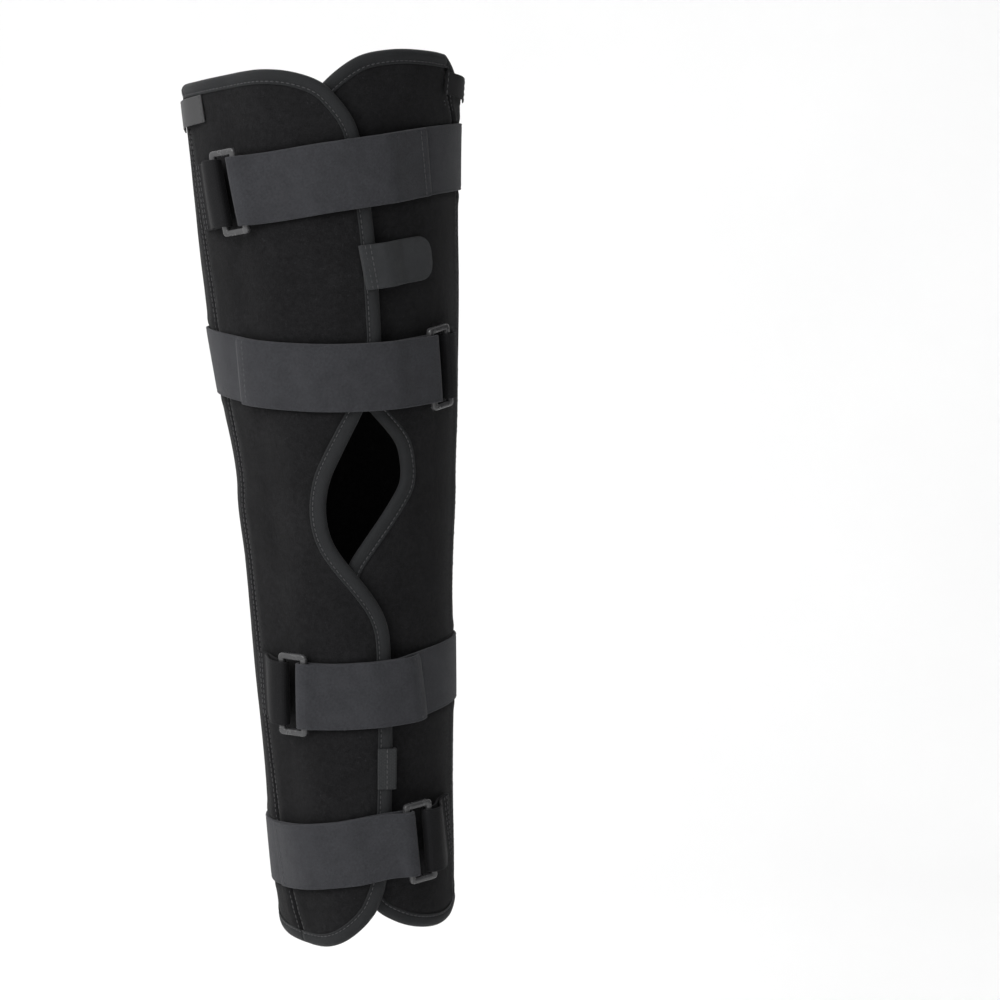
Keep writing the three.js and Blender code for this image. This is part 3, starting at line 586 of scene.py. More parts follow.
def weave_group() -> NodeTree:
    """Return the group for a plain weave on a piece laid flat: crowned threads over and under."""
    def wire(w: Wiring, source: Node, sink: Node) -> None:
        """Wire warp and weft crowns that take turns on top."""
        parts = w.add("ShaderNodeSeparateXYZ", {0: source.outputs["Flat"]})
        along = w.math("MULTIPLY", parts.outputs[0], source.outputs["Rows"])
        across = w.math("MULTIPLY", parts.outputs[1], source.outputs["Cords"])
        turn = w.math("ADD", w.math("FLOOR", along), w.math("FLOOR", across))
        over = w.math("PINGPONG", turn, 1.0)
        weft = w.math("ABSOLUTE", w.math("SINE", w.math("MULTIPLY", along, math.pi)))
        warp = w.math("ABSOLUTE", w.math("SINE", w.math("MULTIPLY", across, math.pi)))
        crowns = w.math("MULTIPLY", weft, warp)
        shown = w.math("ADD", w.math("MULTIPLY", over, 0.6), 0.4)
        w.tree.links.new(w.math("MULTIPLY", crowns, shown), sink.inputs["Height"])
    inputs = {
        "Flat": ("NodeSocketVector", None),
        "Rows": ("NodeSocketFloat", 600.0),
        "Cords": ("NodeSocketFloat", 600.0),
    }
    return shared_group("plain_weave", inputs, ("Height",), wire)


@dataclass(frozen=True)
class Finish:
    """What all finishes share: a name, a dark and a light colour and how rough and woolly it is."""

    name: str
    dark: int
    light: int
    roughness: float = 0.9
    sheen: float = 0.2
    specular: float = 0.3

    def start(self) -> tuple[Material, Wiring, Node]:
        """Start the material with its shader, whose constants are set on its own sockets."""
        material = bpy.data.materials.new(self.name)
        material.use_nodes = True
        wiring = Wiring(material.node_tree)
        shader = material.node_tree.nodes["Principled BSDF"]
        shader.inputs["Sheen Weight"].default_value = self.sheen
        shader.inputs["Sheen Roughness"].default_value = 0.4
        shader.inputs["Specular IOR Level"].default_value = self.specular
        return material, wiring, shader

    def finish(self, wiring: Wiring, shader: Node, colour: Any, roughness: Any,
               height: Any, depth: float) -> None:
        """Link the colour, the roughness and a bump of some depth in metres to the shader."""
        wiring.tree.links.new(colour, shader.inputs["Base Color"])
        wiring.tree.links.new(roughness, shader.inputs["Roughness"])
        relief = wiring.add("ShaderNodeBump", {"Height": height, "Strength": 1.0, "Distance": depth})
        wiring.tree.links.new(relief.outputs[0], shader.inputs["Normal"])

    def rough_range(self, wiring: Wiring, share: Any, swing: float) -> NodeSocket:
        """Return a roughness that swings about the finish's own with a share."""
        low = wiring.math("MULTIPLY", share, swing)
        return wiring.math("ADD", low, self.roughness - swing / 2)


def place_group(w: Wiring, tree: NodeTree, values: dict[str, Any]) -> Node:
    """Place a shared group in a material.

    Args:
        w: the material's wiring.
        tree: the shared group.
        values: for each of its inputs, a value or an output to link from.

    Returns:
        The group's node.
    """
    node = w.add("ShaderNodeGroup", node_tree=tree)
    for key, value in values.items():
        if isinstance(value, NodeSocket):
            w.tree.links.new(value, node.inputs[key])
        else:
            node.inputs[key].default_value = value
    return node


@dataclass(frozen=True)
class FoamFinish(Finish):
    """Foam laminate with a brushed face: fibre grain, broad shading and a little lint."""

    grain: float = 1150.0
    lint: int = 0x5C5D60
    lint_share: float = 0.16
    depth: float = 0.0002

    def material(self) -> Material:
        """Return the finish as a material."""
        material, w, shader = self.start()
        place = w.add("ShaderNodeTexCoord").outputs["Object"]
        nap = place_group(w, nap_group(), {"Place": place, "Scale": self.grain})
        fibres = place_group(w, lint_group(), {"Place": place, "Scale": self.grain * 0.45})
        colour = w.blend(nap.outputs["Grain"], linear(self.dark), linear(self.light))
        shade = w.math("ADD", w.math("MULTIPLY", nap.outputs["Broad"], 0.3), 0.85)
        toned = w.add("ShaderNodeVectorMath", {0: colour, 3: shade}, operation="SCALE").outputs[0]
        stray = w.math("MULTIPLY", fibres.outputs["Fibres"], self.lint_share)
        final = w.blend(stray, toned, linear(self.lint))
        self.finish(w, shader, final, self.rough_range(w, nap.outputs["Grain"], 0.1),
                    nap.outputs["Grain"], self.depth)
        return material


@dataclass(frozen=True)
class WovenFinish(Finish):
    """Woven or knitted band on its own flat map: threads with paler crowns and darker hollows, following the
    weave's height, and a nap over them.
    """

    rows: float = 700.0
    cords: float = 700.0
    grain: float = 1500.0
    nap: float = 0.5
    edge: float = 0.0
    selvedge: tuple[float, float] = (0.0197, 0.0211)
    depth: float = 0.0002

    def material(self) -> Material:
        """Return the finish as a material."""
        material, w, shader = self.start()
        place = w.add("ShaderNodeTexCoord").outputs["Object"]
        flat = w.add("ShaderNodeUVMap", uv_map="flat").outputs[0]
        weave = place_group(w, weave_group(), {"Flat": flat, "Rows": self.rows, "Cords": self.cords})
        nap = place_group(w, nap_group(), {"Place": place, "Scale": self.grain})
        mixed = w.math("ADD", w.math("MULTIPLY", weave.outputs["Height"], 1.0 - self.nap),
                       w.math("MULTIPLY", nap.outputs["Grain"], self.nap))
        colour = w.blend(mixed, linear(self.dark), linear(self.light))
        across = w.math("ABSOLUTE", w.add("ShaderNodeSeparateXYZ", {0: flat}).outputs[1])
        selvedge = w.spread(across, *self.selvedge)
        shade = w.math("ADD", w.math("MULTIPLY", nap.outputs["Broad"], 0.16), 0.92)
        shade = w.math("ADD", shade, w.math("MULTIPLY", selvedge, self.edge))
        toned = w.add("ShaderNodeVectorMath", {0: colour, 3: shade}, operation="SCALE").outputs[0]
        self.finish(w, shader, toned, self.rough_range(w, mixed, 0.12), mixed, self.depth)
        return material


@dataclass(frozen=True)
class PlasticFinish(Finish):
    """Moulded plastic: fine orange peel, and paler patches scattered by noise as painted highlights."""

    peel: float = 900.0
    depth: float = 0.00006

    def material(self) -> Material:
        """Return the finish as a material."""
        material, w, shader = self.start()
        place = w.add("ShaderNodeTexCoord").outputs["Object"]
        peel = w.add("ShaderNodeTexNoise", {"Vector": place, "Scale": self.peel, "Detail": 3.0})
        # A broad noise picks paler patches that are painted highlights on the plastic; the same patches also
        # raise its roughness.
        highlight_noise = w.add("ShaderNodeTexNoise", {"Vector": place, "Scale": self.peel * 0.2, "Detail": 5.0,
                                             "Distortion": 0.8})
        highlight_patches = w.spread(highlight_noise.outputs[0], 0.45, 0.75)
        colour = w.blend(highlight_patches, linear(self.dark), linear(self.light))
        self.finish(w, shader, colour, self.rough_range(w, highlight_patches, 0.18), peel.outputs[0], self.depth)
        return material


@dataclass(frozen=True)
class ThreadFinish(Finish):
    """Sewing thread: a fine twist along it."""

    twist: float = 2600.0
    depth: float = 0.00005

    def material(self) -> Material:
        """Return the finish as a material."""
        material, w, shader = self.start()
        place = w.add("ShaderNodeTexCoord").outputs["Object"]
        wave = w.add("ShaderNodeTexWave", {"Vector": place, "Scale": self.twist, "Distortion": 1.2},
                     bands_direction="DIAGONAL")
        colour = w.blend(wave.outputs["Fac"], linear(self.dark), linear(self.light))
        self.finish(w, shader, colour, self.rough_range(w, wave.outputs["Fac"], 0.1),
                    wave.outputs["Fac"], self.depth)
        return material


@dataclass(frozen=True)
class FloorFinish(Finish):
    """Pale studio floor with a faint unevenness."""

    def material(self) -> Material:
        """Return the finish as a material."""
        material, w, shader = self.start()
        place = w.add("ShaderNodeTexCoord").outputs["Object"]
        cloud = w.add("ShaderNodeTexNoise", {"Vector": place, "Scale": 3.0, "Detail": 3.0})
        colour = w.blend(cloud.outputs[0], linear(self.dark), linear(self.light))
        self.finish(w, shader, colour, self.rough_range(w, cloud.outputs[0], 0.05),
                    cloud.outputs[0], 0.0001)
        return material


# Stitches
class StitchTree:
    """Geometry Nodes tree that sets small thread stitches along the lines of a mesh."""

    LENGTH, PITCH, RADIUS, SEED, THREAD = "Stitch length", "Pitch", "Thread radius", "Seed", "Thread"

    def __init__(self) -> None:
        """Build the tree and note its sockets' identifiers."""
        tree = bpy.data.node_groups.new("thread_stitches", "GeometryNodeTree")
        face = tree.interface
        face.new_socket("Lines", in_out="INPUT", socket_type="NodeSocketGeometry")
        self.sockets: dict[str, str] = {}
        for name, kind in ((self.LENGTH, "NodeSocketFloat"), (self.PITCH, "NodeSocketFloat"),
                           (self.RADIUS, "NodeSocketFloat"), (self.SEED, "NodeSocketInt"),
                           (self.THREAD, "NodeSocketMaterial")):
            self.sockets[name] = face.new_socket(name, in_out="INPUT", socket_type=kind).identifier
        face.new_socket("Stitches", in_out="OUTPUT", socket_type="NodeSocketGeometry")
        w = Wiring(tree)
        source = w.add("NodeGroupInput")
        sink = w.add("NodeGroupOutput")
        curves = w.add("GeometryNodeMeshToCurve", {0: source.outputs["Lines"]})
        spaced = w.add("GeometryNodeResampleCurve", {"Curve": curves.outputs[0],
                                                     "Length": source.outputs[self.PITCH]}, mode="LENGTH")
        way = w.add("FunctionNodeAlignRotationToVector",
                    {"Vector": w.add("GeometryNodeInputTangent").outputs[0]}, axis="X")
        bead = w.add("GeometryNodeMeshUVSphere", {"Segments": 6, "Rings": 6, "Radius": 1.0})
        half = w.math("MULTIPLY", source.outputs[self.LENGTH], 0.5)
        radius = source.outputs[self.RADIUS]
        size = w.add("ShaderNodeCombineXYZ", {0: half, 1: radius, 2: radius})
        vary = w.add("FunctionNodeRandomValue", {"Seed": source.outputs[self.SEED]}, data_type="FLOAT")
        least, most = 0.88, 1.1
        vary.inputs[2].default_value = least
        vary.inputs[3].default_value = most
        sized = w.add("ShaderNodeVectorMath", {0: size.outputs[0], 3: vary.outputs[1]}, operation="SCALE")
        spots = w.add("GeometryNodeInstanceOnPoints", {
            "Points": spaced.outputs[0], "Instance": bead.outputs[0],
            "Rotation": way.outputs[0], "Scale": sized.outputs[0],
        })
        real = w.add("GeometryNodeRealizeInstances", {0: spots.outputs[0]})
        smooth = w.add("GeometryNodeSetShadeSmooth", {0: real.outputs[0]})
        dressed = w.add("GeometryNodeSetMaterial", {0: smooth.outputs[0],
                                                    "Material": source.outputs[self.THREAD]})
        tree.links.new(dressed.outputs[0], sink.inputs[0])
        self.tree = tree

    def sew(self, name: str, lines: list[list[Vector]], thread: Material, length: float, pitch: float,
            radius: float, seed: int = 7) -> Object:
        """Sew stitches along lines.

        Args:
            name: the piece's name.
            lines: lines of points in metres.
            thread: the thread's material.
            length: length of one stitch in millimetres.
            pitch: from one stitch to the next in millimetres.
            radius: half the thread's thickness in millimetres.
            seed: seed of the small changes in size.

        Returns:
            The stitches as one plain mesh object.
        """
        points: list[tuple[float, ...]] = []
        edges: list[tuple[int, int]] = []
        for line in lines:
            start = len(points)
            points.extend(tuple(p) for p in line)
            edges.extend((start + k, start + k + 1) for k in range(len(line) - 1))
        mesh = bpy.data.meshes.new(name + "_lines")
        mesh.from_pydata(points, edges, [])
        guide = bpy.data.objects.new(name + "_lines", mesh)
        bpy.context.scene.collection.objects.link(guide)
        worker = guide.modifiers.new("stitches", "NODES")
        worker.node_group = self.tree
        values = {self.LENGTH: length * MM, self.PITCH: pitch * MM, self.RADIUS: radius * MM,
                  self.SEED: seed, self.THREAD: thread}
        for key, value in values.items():
            worker[self.sockets[key]] = value
        ready = guide.evaluated_get(bpy.context.evaluated_depsgraph_get())
        sewn = bpy.data.meshes.new_from_object(ready)
        sewn.name = name
        guide.modifiers.remove(worker)
        bpy.data.objects.remove(guide)
        bpy.data.meshes.remove(mesh)
        piece = bpy.data.objects.new(name, sewn)
        bpy.context.scene.collection.objects.link(piece)
        return piece


def dashed_outline(corners: Sequence[tuple[float, float]], step: float) -> Spots:
    """Return a closed outline through corners with a point at every step or closer."""
    spots: Spots = []
    for here, there in zip(corners, list(corners[1:]) + [corners[0]]):
        count = max(1, math.ceil(math.dist(here, there) / step))
        shares = [k / count for k in range(count)]
        spots.extend((mix(here[0], there[0], s), mix(here[1], there[1], s)) for s in shares)
    return spots + [spots[0]]


def row_across(at: Callable[[float], Vector], reach: float, steps: int) -> list[Vector]:
    """Return points at even steps across a band, as far as a reach to either side."""
    return [at(mix(-reach, reach, s / steps)) for s in range(steps + 1)]


# Straps. The places looked at under a strap: steps to either side, and shares of its width
NEAR_STEPS = (-1.3, -0.8, -0.4, 0.0, 0.4, 0.8, 1.3)
WIDTH_SHARES = (-0.5, -0.25, 0.0, 0.25, 0.5)


@dataclass
class Closure:
    """One closing of the wrap: its strap, its loop and its keeper.

    The strap's middle line has its level as a share of the leg's length, a rise toward +X and a dip at
    both sides in millimetres, and a skew near the loop in degrees. The loop, the strap's folded end, the
    keeper's sewn end and the strap's sewn end are angles.
    """

    leg: LegForm
    cut: WrapCut
    side: Side
    level: float
    rise: float
    dip: float
    skew: float
    loop: float
    end: float
    keeper: float
    sewn: float
    strap_width: float = 42.0
    strap_thick: float = 2.0
    strap_gap: float = 0.6
    keeper_thick: float = 1.5
    keeper_width: float = 41.0
    loop_width: float = 20.0
    bar_width: float = 4.0
    end_bar: float = 4.0
    bar_thick: float = 3.8
    loop_play: float = 1.3
    bar_play: float = 0.5
    fit: float = 0.3
    step: float = 7.0
    reach: int = 12
    bend: float = 2.0
    skew_held: float = 10.0
    skew_fade: float = 30.0
    rounds: int = 4
    # Studio. The wrap, as on the leg, is held up, so the floor lies this far below it, in metres
    turn_steps: int = 4

    def height(self, angle: float) -> float:
        """Return the height of the strap's middle line at an angle."""
        sine = math.sin(math.radians(angle))
        middle = self.leg.height(self.level)
        faded = ease((abs(self.loop - angle) - self.skew_held) / self.skew_fade)
        slope = math.tan(math.radians(self.skew)) * (1 - faded)
        square = slope * (self.loop - angle) * self.leg.per_degree(middle)
        return middle + self.rise * sine + self.dip * sine * sine + square

    def on(self, angle: float, across: float, out: float) -> Vector:
        """Return the point at an angle, across the strap's width and out from the skin."""
        z = self.height(angle)
        step = self.leg.per_degree(z)
        tilt = math.atan2(self.height(angle + 1) - self.height(angle - 1), 2 * step)
        return self.leg.place(angle - across * math.sin(tilt) / step, z + across * math.cos(tilt), out)

    def covers(self, angle: float) -> bool:
        """Return whether the strap runs over the wrap at an angle."""
        low, high = sorted((self.sewn, self.loop))
        return any(low <= angle + turn <= high for turn in (-360, 0, 360))

    def taut(self, samples: Spots) -> Spots:
        """Return the samples of angle and distance out, pulled taut over their neighbours."""
        half, deep, _, _ = self.leg.section(self.height(self.loop))
        ways = [(math.sin(math.radians(a)), -math.cos(math.radians(a))) for a, _ in samples]

        def at(k: int, out: float) -> tuple[float, float]:
            """Return a sample's place in plan."""
            return (half + out) * ways[k][0], (deep + out) * ways[k][1]

        result = []
        for k, (angle, out) in enumerate(samples):
            best = out
            foot = at(k, 0.0)
            for i in range(max(k - self.reach, 0), k):
                start = at(i, samples[i][1])
                for j in range(k + 1, min(k + self.reach, len(samples) - 1) + 1):
                    stop = at(j, samples[j][1])
                    line = (stop[0] - start[0], stop[1] - start[1])
                    offset = line[0] * (foot[1] - start[1]) - line[1] * (foot[0] - start[0])
                    best = max(best, -offset / (line[0] * ways[k][1] - line[1] * ways[k][0]))
            result.append((angle, best))
        return result

    def base_run(self, bar_angle: float) -> Spots:
        """Return the strap's run from its sewn end to an angle, pulled taut over the wrap."""
        span = bar_angle - self.sewn
        count = round(abs(span) / self.step)
        step = abs(span) / count
        rough = []
        for k in range(count + 1):
            angle = mix(self.sewn, bar_angle, k / count)
            top = 0.0
            for near in NEAR_STEPS:
                spot = angle + near * step
                for across in WIDTH_SHARES:
                    top = max(top, self.cut.top(spot, self.height(spot) + across * self.strap_width))
            rough.append((angle, top))
        lift = self.strap_gap + self.strap_thick / 2
        return [(angle, out + lift) for angle, out in self.taut(rough)]

    def solve(self) -> None:
        """Find the strap's base run and where the loop's two bars lie."""
        half, deep, _, _ = self.leg.section(self.height(self.loop))
        self.skin = (half + deep) / 2
        offset = (self.loop_width - self.bar_width) / 2
        self.leaning = self.bar_width * offset / 2 / (self.skin + self.leg.wall)
        self.bar_half = self.bar_thick / 2 + self.bar_play + self.leaning
        self.bar_out = self.leg.wall + self.strap_gap + self.strap_thick + self.bar_half
        for _ in range(self.rounds):
            self.unit = math.radians(self.skin + self.bar_out)
            self.base = self.base_run(self.loop - self.side.value * offset / self.unit)
            (a0, o0), (a1, o1) = self.base[-2:]
            slope = max(o0 - o1, 0) / (abs(a1 - a0) * self.unit)
            self.bar_out = o1 + slope * self.bar_width + self.strap_thick / 2 + self.bar_half
        self.strap_bar = self.base[-1][0]
        self.keeper_bar = 2 * self.loop - self.strap_bar
        step = abs(self.base[1][0] - self.base[0][0])
        wrapped = self.bar_half + self.strap_thick / 2
        count = round(abs(self.end - self.strap_bar) / step)
        rough = []
        for k in range(count + 1):
            angle = mix(self.strap_bar, self.end, k / count)
            below = max(out for spot, out in self.base if abs(spot - angle) <= step * 1.01)
            out = self.bar_out + wrapped if k == 0 else below + self.strap_thick + self.fit
            rough.append((angle, out))
        self.folded = self.taut(rough)

    def turn(self, bar_angle: float, way: int, thick: float) -> Spots:
        """Return the half turn round a bar, from under it to over it.

        Args:
            bar_angle: the bar's middle.
            way: 1 where the turn goes toward larger angles, -1 toward smaller.
            thick: thickness of what is turned round the bar.

        Returns:
            Spots of angle and distance out.
        """
        sideways = self.bar_width / 2 + self.bar_play + self.leaning + thick / 2
        wrapped = self.bar_half + thick / 2
        entry = -self.bar_width / 2 - self.fit
        spots = [(entry, -wrapped)]
        for sign, start in ((-1, -90), (1, 0)):
            for k in range(self.turn_steps + 1):
                turn = math.radians(start + 90 * k / self.turn_steps)
                spots.append((sideways - self.bend + self.bend * math.cos(turn),
                              sign * (wrapped - self.bend) + self.bend * math.sin(turn)))
        spots.append((entry, wrapped))
        return [(bar_angle + way * along / self.unit, self.bar_out + high) for along, high in spots]


def smooth_run(spots: Spots, unit: float, step: float) -> Spots:
    """Return a run of angle and distance out with spots at about even steps on a smooth curve.

    Args:
        spots: the run's spots.
        unit: millimetres in a degree.
        step: the step wanted, in millimetres.

    Returns:
        The finer run.
    """
    lengths = [0.0]
    for (a0, o0), (a1, o1) in zip(spots, spots[1:]):
        lengths.append(lengths[-1] + max(math.hypot((a1 - a0) * unit, o1 - o0), 1e-6))
    slopes = []
    for i in range(len(spots)):
        low, high = max(i - 1, 0), min(i + 1, len(spots) - 1)
        span = lengths[high] - lengths[low]
        slopes.append([(spots[high][c] - spots[low][c]) / span for c in (0, 1)])
    result = []
    for i in range(len(spots) - 1):
        span = lengths[i + 1] - lengths[i]
        count = max(1, round(span / step))
        for k in range(count):
            t = k / count
            rise = t * t * (3 - 2 * t)
            values = []
            for c in (0, 1):
                value = spots[i][c] * (1 - rise) + spots[i + 1][c] * rise
                value += t * (1 - t) ** 2 * span * slopes[i][c]
                value -= t * t * (1 - t) * span * slopes[i + 1][c]
                values.append(value)
            result.append((values[0], values[1]))
    return result + [spots[-1]]


# Padded panels
@dataclass
class PanelPlan:
    """Cut of one padded panel: its two sides by height, its shaped ends and how far it stands off."""

    name: str
    node: str
    leg: LegForm
    left: Callable[[float], float]
    right: Callable[[float], float]
    bottom: Sequence[EndSpot]
    top: Sequence[EndSpot]
    lift: Callable[[float, float], float]
    seams: tuple[bool, bool]

    def __post_init__(self) -> None:
        """Make the curves of both ends and note their corner heights."""
        edges = {True: self.top, False: self.bottom}
        self.ends = {at_top: SmoothTable(rows, "angle", "up") for at_top, rows in edges.items()}
        self.corners = {at_top: (self.leg.height(rows[0].up), self.leg.height(rows[-1].up))
                        for at_top, rows in edges.items()}

    def bend(self, at_top: bool, across: float) -> float:
        """Return how far an end bows past the straight line between its corners."""
        rows = self.top if at_top else self.bottom
        up = self.ends[at_top].read(mix(rows[0].angle, rows[-1].angle, across))
        return self.leg.height(up) - mix(*self.corners[at_top], across)

    def spot(self, share: float, across: float) -> tuple[float, float]:
        """Return the angle and height at shares of the way up and across the panel."""
        left_z = mix(self.corners[False][0], self.corners[True][0], share)
        right_z = mix(self.corners[False][1], self.corners[True][1], share)
        angle = mix(self.left(left_z), self.right(right_z), across)
        bow = mix(self.bend(False, across), self.bend(True, across), share)
        return angle, mix(left_z, right_z, across) + bow

    def width(self, share: float) -> float:
        """Return the panel's width in millimetres at a share of its height."""
        (a0, z0), (a1, _) = self.spot(share, 0.0), self.spot(share, 1.0)
        return (a1 - a0) * self.leg.per_degree(z0)

    def tall(self) -> float:
        """Return the panel's height along its left side in millimetres."""
        return self.corners[True][0] - self.corners[False][0]


# Distances in from a pad's rim at which its points lie close together, in millimetres
RIM_STEPS = (0.0, 0.06, 0.3, 0.8, 1.5, 2.4)


def fine_shares(long: float, step: float) -> list[float]:
    """Return shares along a length: close together at both ends and at even steps between.

    Args:
        long: the length in millimetres.
        step: the step wanted between the ends.

    Returns:
        Rising shares from 0 to 1.
    """
    inner = long - 2 * RIM_STEPS[-1]
    count = max(1, round(inner / step))
    spots = list(RIM_STEPS) + [RIM_STEPS[-1] + inner * k / count for k in range(1, count)]
    spots += [long - value for value in reversed(RIM_STEPS)]
    return [value / long for value in spots]


class Hump(NamedTuple):
    """Soft hump of the foam: its height, how far off its middle is and its width, in millimetres."""

    height: float
    away: float
    width: float

    def read(self, distance: float) -> float:
        """Return the hump's height at a distance."""
        return self.height * bump(distance - self.away, self.width)


@dataclass
class PaddedPanels:
    """The three padded panels of foam laminate, pressed by the straps and drawn in at their seams."""

    leg: LegForm
    cut: WrapCut
    closures: list[Closure]
    finish: FoamFinish
    seam_gap: float = 0.4
    step: float = 2.1
    row_step: float = 2.3
    waves: float = 0.5
    wave_scale: tuple[float, float, float] = (26.0, 26.0, 17.0)
    dimples: float = 0.07
    dimple_scale: float = 95.0
    swell: float = 0.9
    swell_start: float = 1.0
    swell_fade: float = 6.0
    strap_humps: tuple[Hump, Hump] = (Hump(1.0, 3.5, 4.5), Hump(0.35, 12.0, 9.0))
    press: float = 0.35
    press_width: float = 2.5
    seam_row: float = 2.4
    seam_draw: float = 0.35
    pucker: float = 0.2
    pucker_pitch: float = 9.6
    seam_hump: Hump = Hump(0.45, 8.0, 4.0)
    tape_hump: Hump = Hump(0.5, 3.5, 3.2)
    rim_fade: float = 3.5
    fill: float = 0.75

    def __post_init__(self) -> None:
        """Lay out the three panels."""
        def gap(z: float) -> float:
            """Return half the seam's gap in degrees."""
            return self.seam_gap / 2 / self.leg.per_degree(z)

        cut = self.cut
        self.over = PanelPlan("over_flap_pad", "over_flap", self.leg, lambda z: cut.left_seam(z) + gap(z),
                              cut.over_edge, OVER_BOTTOM, OVER_TOP, cut.lift, (True, False))
        self.under = PanelPlan("under_flap_pad", "under_flap", self.leg, cut.under_edge,
                               lambda z: cut.right_seam(z) - gap(z), UNDER_BOTTOM, UNDER_TOP,
                               lambda angle, z: 0.0, (False, True))
        self.back = PanelPlan("back_panel_pad", "back_panel", self.leg, lambda z: cut.right_seam(z) + gap(z),
                              lambda z: cut.left_seam(z) + 360 - gap(z), BACK_BOTTOM, BACK_TOP,
                              lambda angle, z: 0.0, (True, True))

    def relief(self, angle: float, z: float, seam_near: float, tape_near: float) -> float:
        """Return how far the foam's face stands out or in at a spot.

        Args:
            angle: the spot's angle.
            z: its height.
            seam_near: distance from the nearest side seam.
            tape_near: distance from the nearest taped edge.

        Returns:
            Millimetres, positive outward.
        """
        spot = self.leg.place(angle, z, 0.0)
        value = self.waves * noise.noise(Vector([at * scale for at, scale in zip(spot, self.wave_scale)]))
        value += self.dimples * noise.noise(spot * self.dimple_scale)
        tape_past = tape_near - self.cut.tape_width
        swell = self.swell * ease((tape_past - self.swell_start) / self.swell_fade)
        for closure in self.closures:
            if closure.covers(angle):
                past = abs(z - closure.height(angle)) - closure.strap_width / 2
                if past > 0:
                    value += swell * sum(hump.read(past) for hump in self.strap_humps)
                else:
                    value -= self.press * (1 - math.exp(past / self.press_width))
        pinch = 0.5 + 0.5 * math.sin(z * 2 * math.pi / self.pucker_pitch)
        value -= (self.seam_draw + self.pucker * pinch) * bump(seam_near - self.seam_row, 1.0)
        return value + self.seam_hump.read(seam_near) + self.tape_hump.read(tape_past)

    def build(self, plan: PanelPlan) -> Object:
        """Args:
            plan: the panel's cut.

        Returns:
            The finished pad.
        """
        shares = fine_shares(plan.tall(), self.row_step)
        columns = fine_shares((plan.width(0.25) + plan.width(0.75)) / 2, self.step)
        half = self.leg.wall / 2
        outer: list[Vector] = []
        inner: list[Vector] = []
        for share in shares:
            width = plan.width(share)
            for across in columns:
                angle, z = plan.spot(share, across)
                sides = (across * width, (1 - across) * width)
                ends = min(share, 1 - share) * plan.tall()
                seam_near = min([d for d, sewn in zip(sides, plan.seams) if sewn])
                tape_near = min([ends] + [d for d, sewn in zip(sides, plan.seams) if not sewn])
                near = min(seam_near, tape_near)
                rim = held(near / half, 0.02, 1.0)
                pad = half * math.sqrt(1 - (1 - rim) ** 2)
                stand = plan.lift(angle, z) + half
                face = self.relief(angle, z, seam_near, tape_near) * ease(near / self.rim_fade)
                outer.append(self.leg.place(angle, z, stand + pad + face))
                inner.append(self.leg.place(angle, z, stand - pad))
        high, wide = len(shares), len(columns)
        base = high * wide
        faces: list[tuple[int, ...]] = []
        for j in range(high - 1):
            for i in range(wide - 1):
                a, b = j * wide + i, j * wide + i + 1
                c, d = b + wide, a + wide
                faces.append((a, b, c, d))
                faces.append((base + d, base + c, base + b, base + a))
        rim_spots = list(range(wide - 1))
        rim_spots += [j * wide + wide - 1 for j in range(high - 1)]
        rim_spots += [(high - 1) * wide + i for i in range(wide - 1, 0, -1)]
        rim_spots += [j * wide for j in range(high - 1, 0, -1)]
        for here, there in zip(rim_spots, rim_spots[1:] + rim_spots[:1]):
            faces.append((here, base + here, base + there, there))
        piece = make_piece(plan.name, outer + inner, faces, self.finish_material)
        settle(piece, "foam_laminate", plan.node)
        return piece

    def make(self) -> list[Object]:
        """Build all three panels."""
        self.finish_material = self.finish.material()
        return [self.build(plan) for plan in (self.over, self.under, self.back)]

    def seam_lines(self, sewing: "Sewing") -> None:
        """Add the double rows of stitches beside both side seams."""
        margin, count, sunk, clear = 9.0, 260, 0.85, 0.06
        for plan, across, sign in ((self.over, 0.0, 1), (self.under, 1.0, -1),
                                   (self.back, 0.0, 1), (self.back, 1.0, -1)):
            low = margin / plan.tall()
            line = []
            for k in range(count + 1):
                share = mix(low, 1 - low, k / count)
                angle, z = plan.spot(share, across)
                angle += sign * self.seam_row / self.leg.per_degree(z)
                face = self.relief(angle, z, self.seam_row, margin) * sunk
                line.append(self.leg.place(angle, z, plan.lift(angle, z) + self.leg.wall + face + clear))
            sewing.add(line)


# Sewing
@dataclass
class Sewing:
    """Rows of stitches gathered by kind, and sewn together at the end."""

    thread: ThreadFinish
    zigzag_width: float = 3.2
    rows: dict[StitchKind, list[list[Vector]]] = field(default_factory=dict)

    def add(self, line: list[Vector], kind: StitchKind = StitchKind.RUNNING,
            sideways: Vector | None = None) -> None:
        """Add a row of stitches.

        Args:
            line: its points in metres.
            kind: how the row runs.
            sideways: for a zigzag, the way across the row.
        """
        if kind is StitchKind.ZIGZAG and sideways is not None:
            reach = sideways.normalized() * (self.zigzag_width / 2 * MM)
            line = [p + (reach if k % 2 else -reach) for k, p in enumerate(line)]
        self.rows.setdefault(kind, []).append(line)

    def make(self) -> list[Object]:
        """Sew all rows and return the pieces."""
        tree = StitchTree()
        material = self.thread.material()
        lengths = {StitchKind.RUNNING: (2.5, 3.3, 0.3), StitchKind.ZIGZAG: (1.5, 0.9, 0.24)}
        pieces = []
        for kind, lines in self.rows.items():
            length, pitch, radius = lengths[kind]
            piece = tree.sew(f"{kind.value}_stitches", lines, material, length, pitch, radius)
            pieces.append(settle(piece, "edge_tape"))
        return pieces


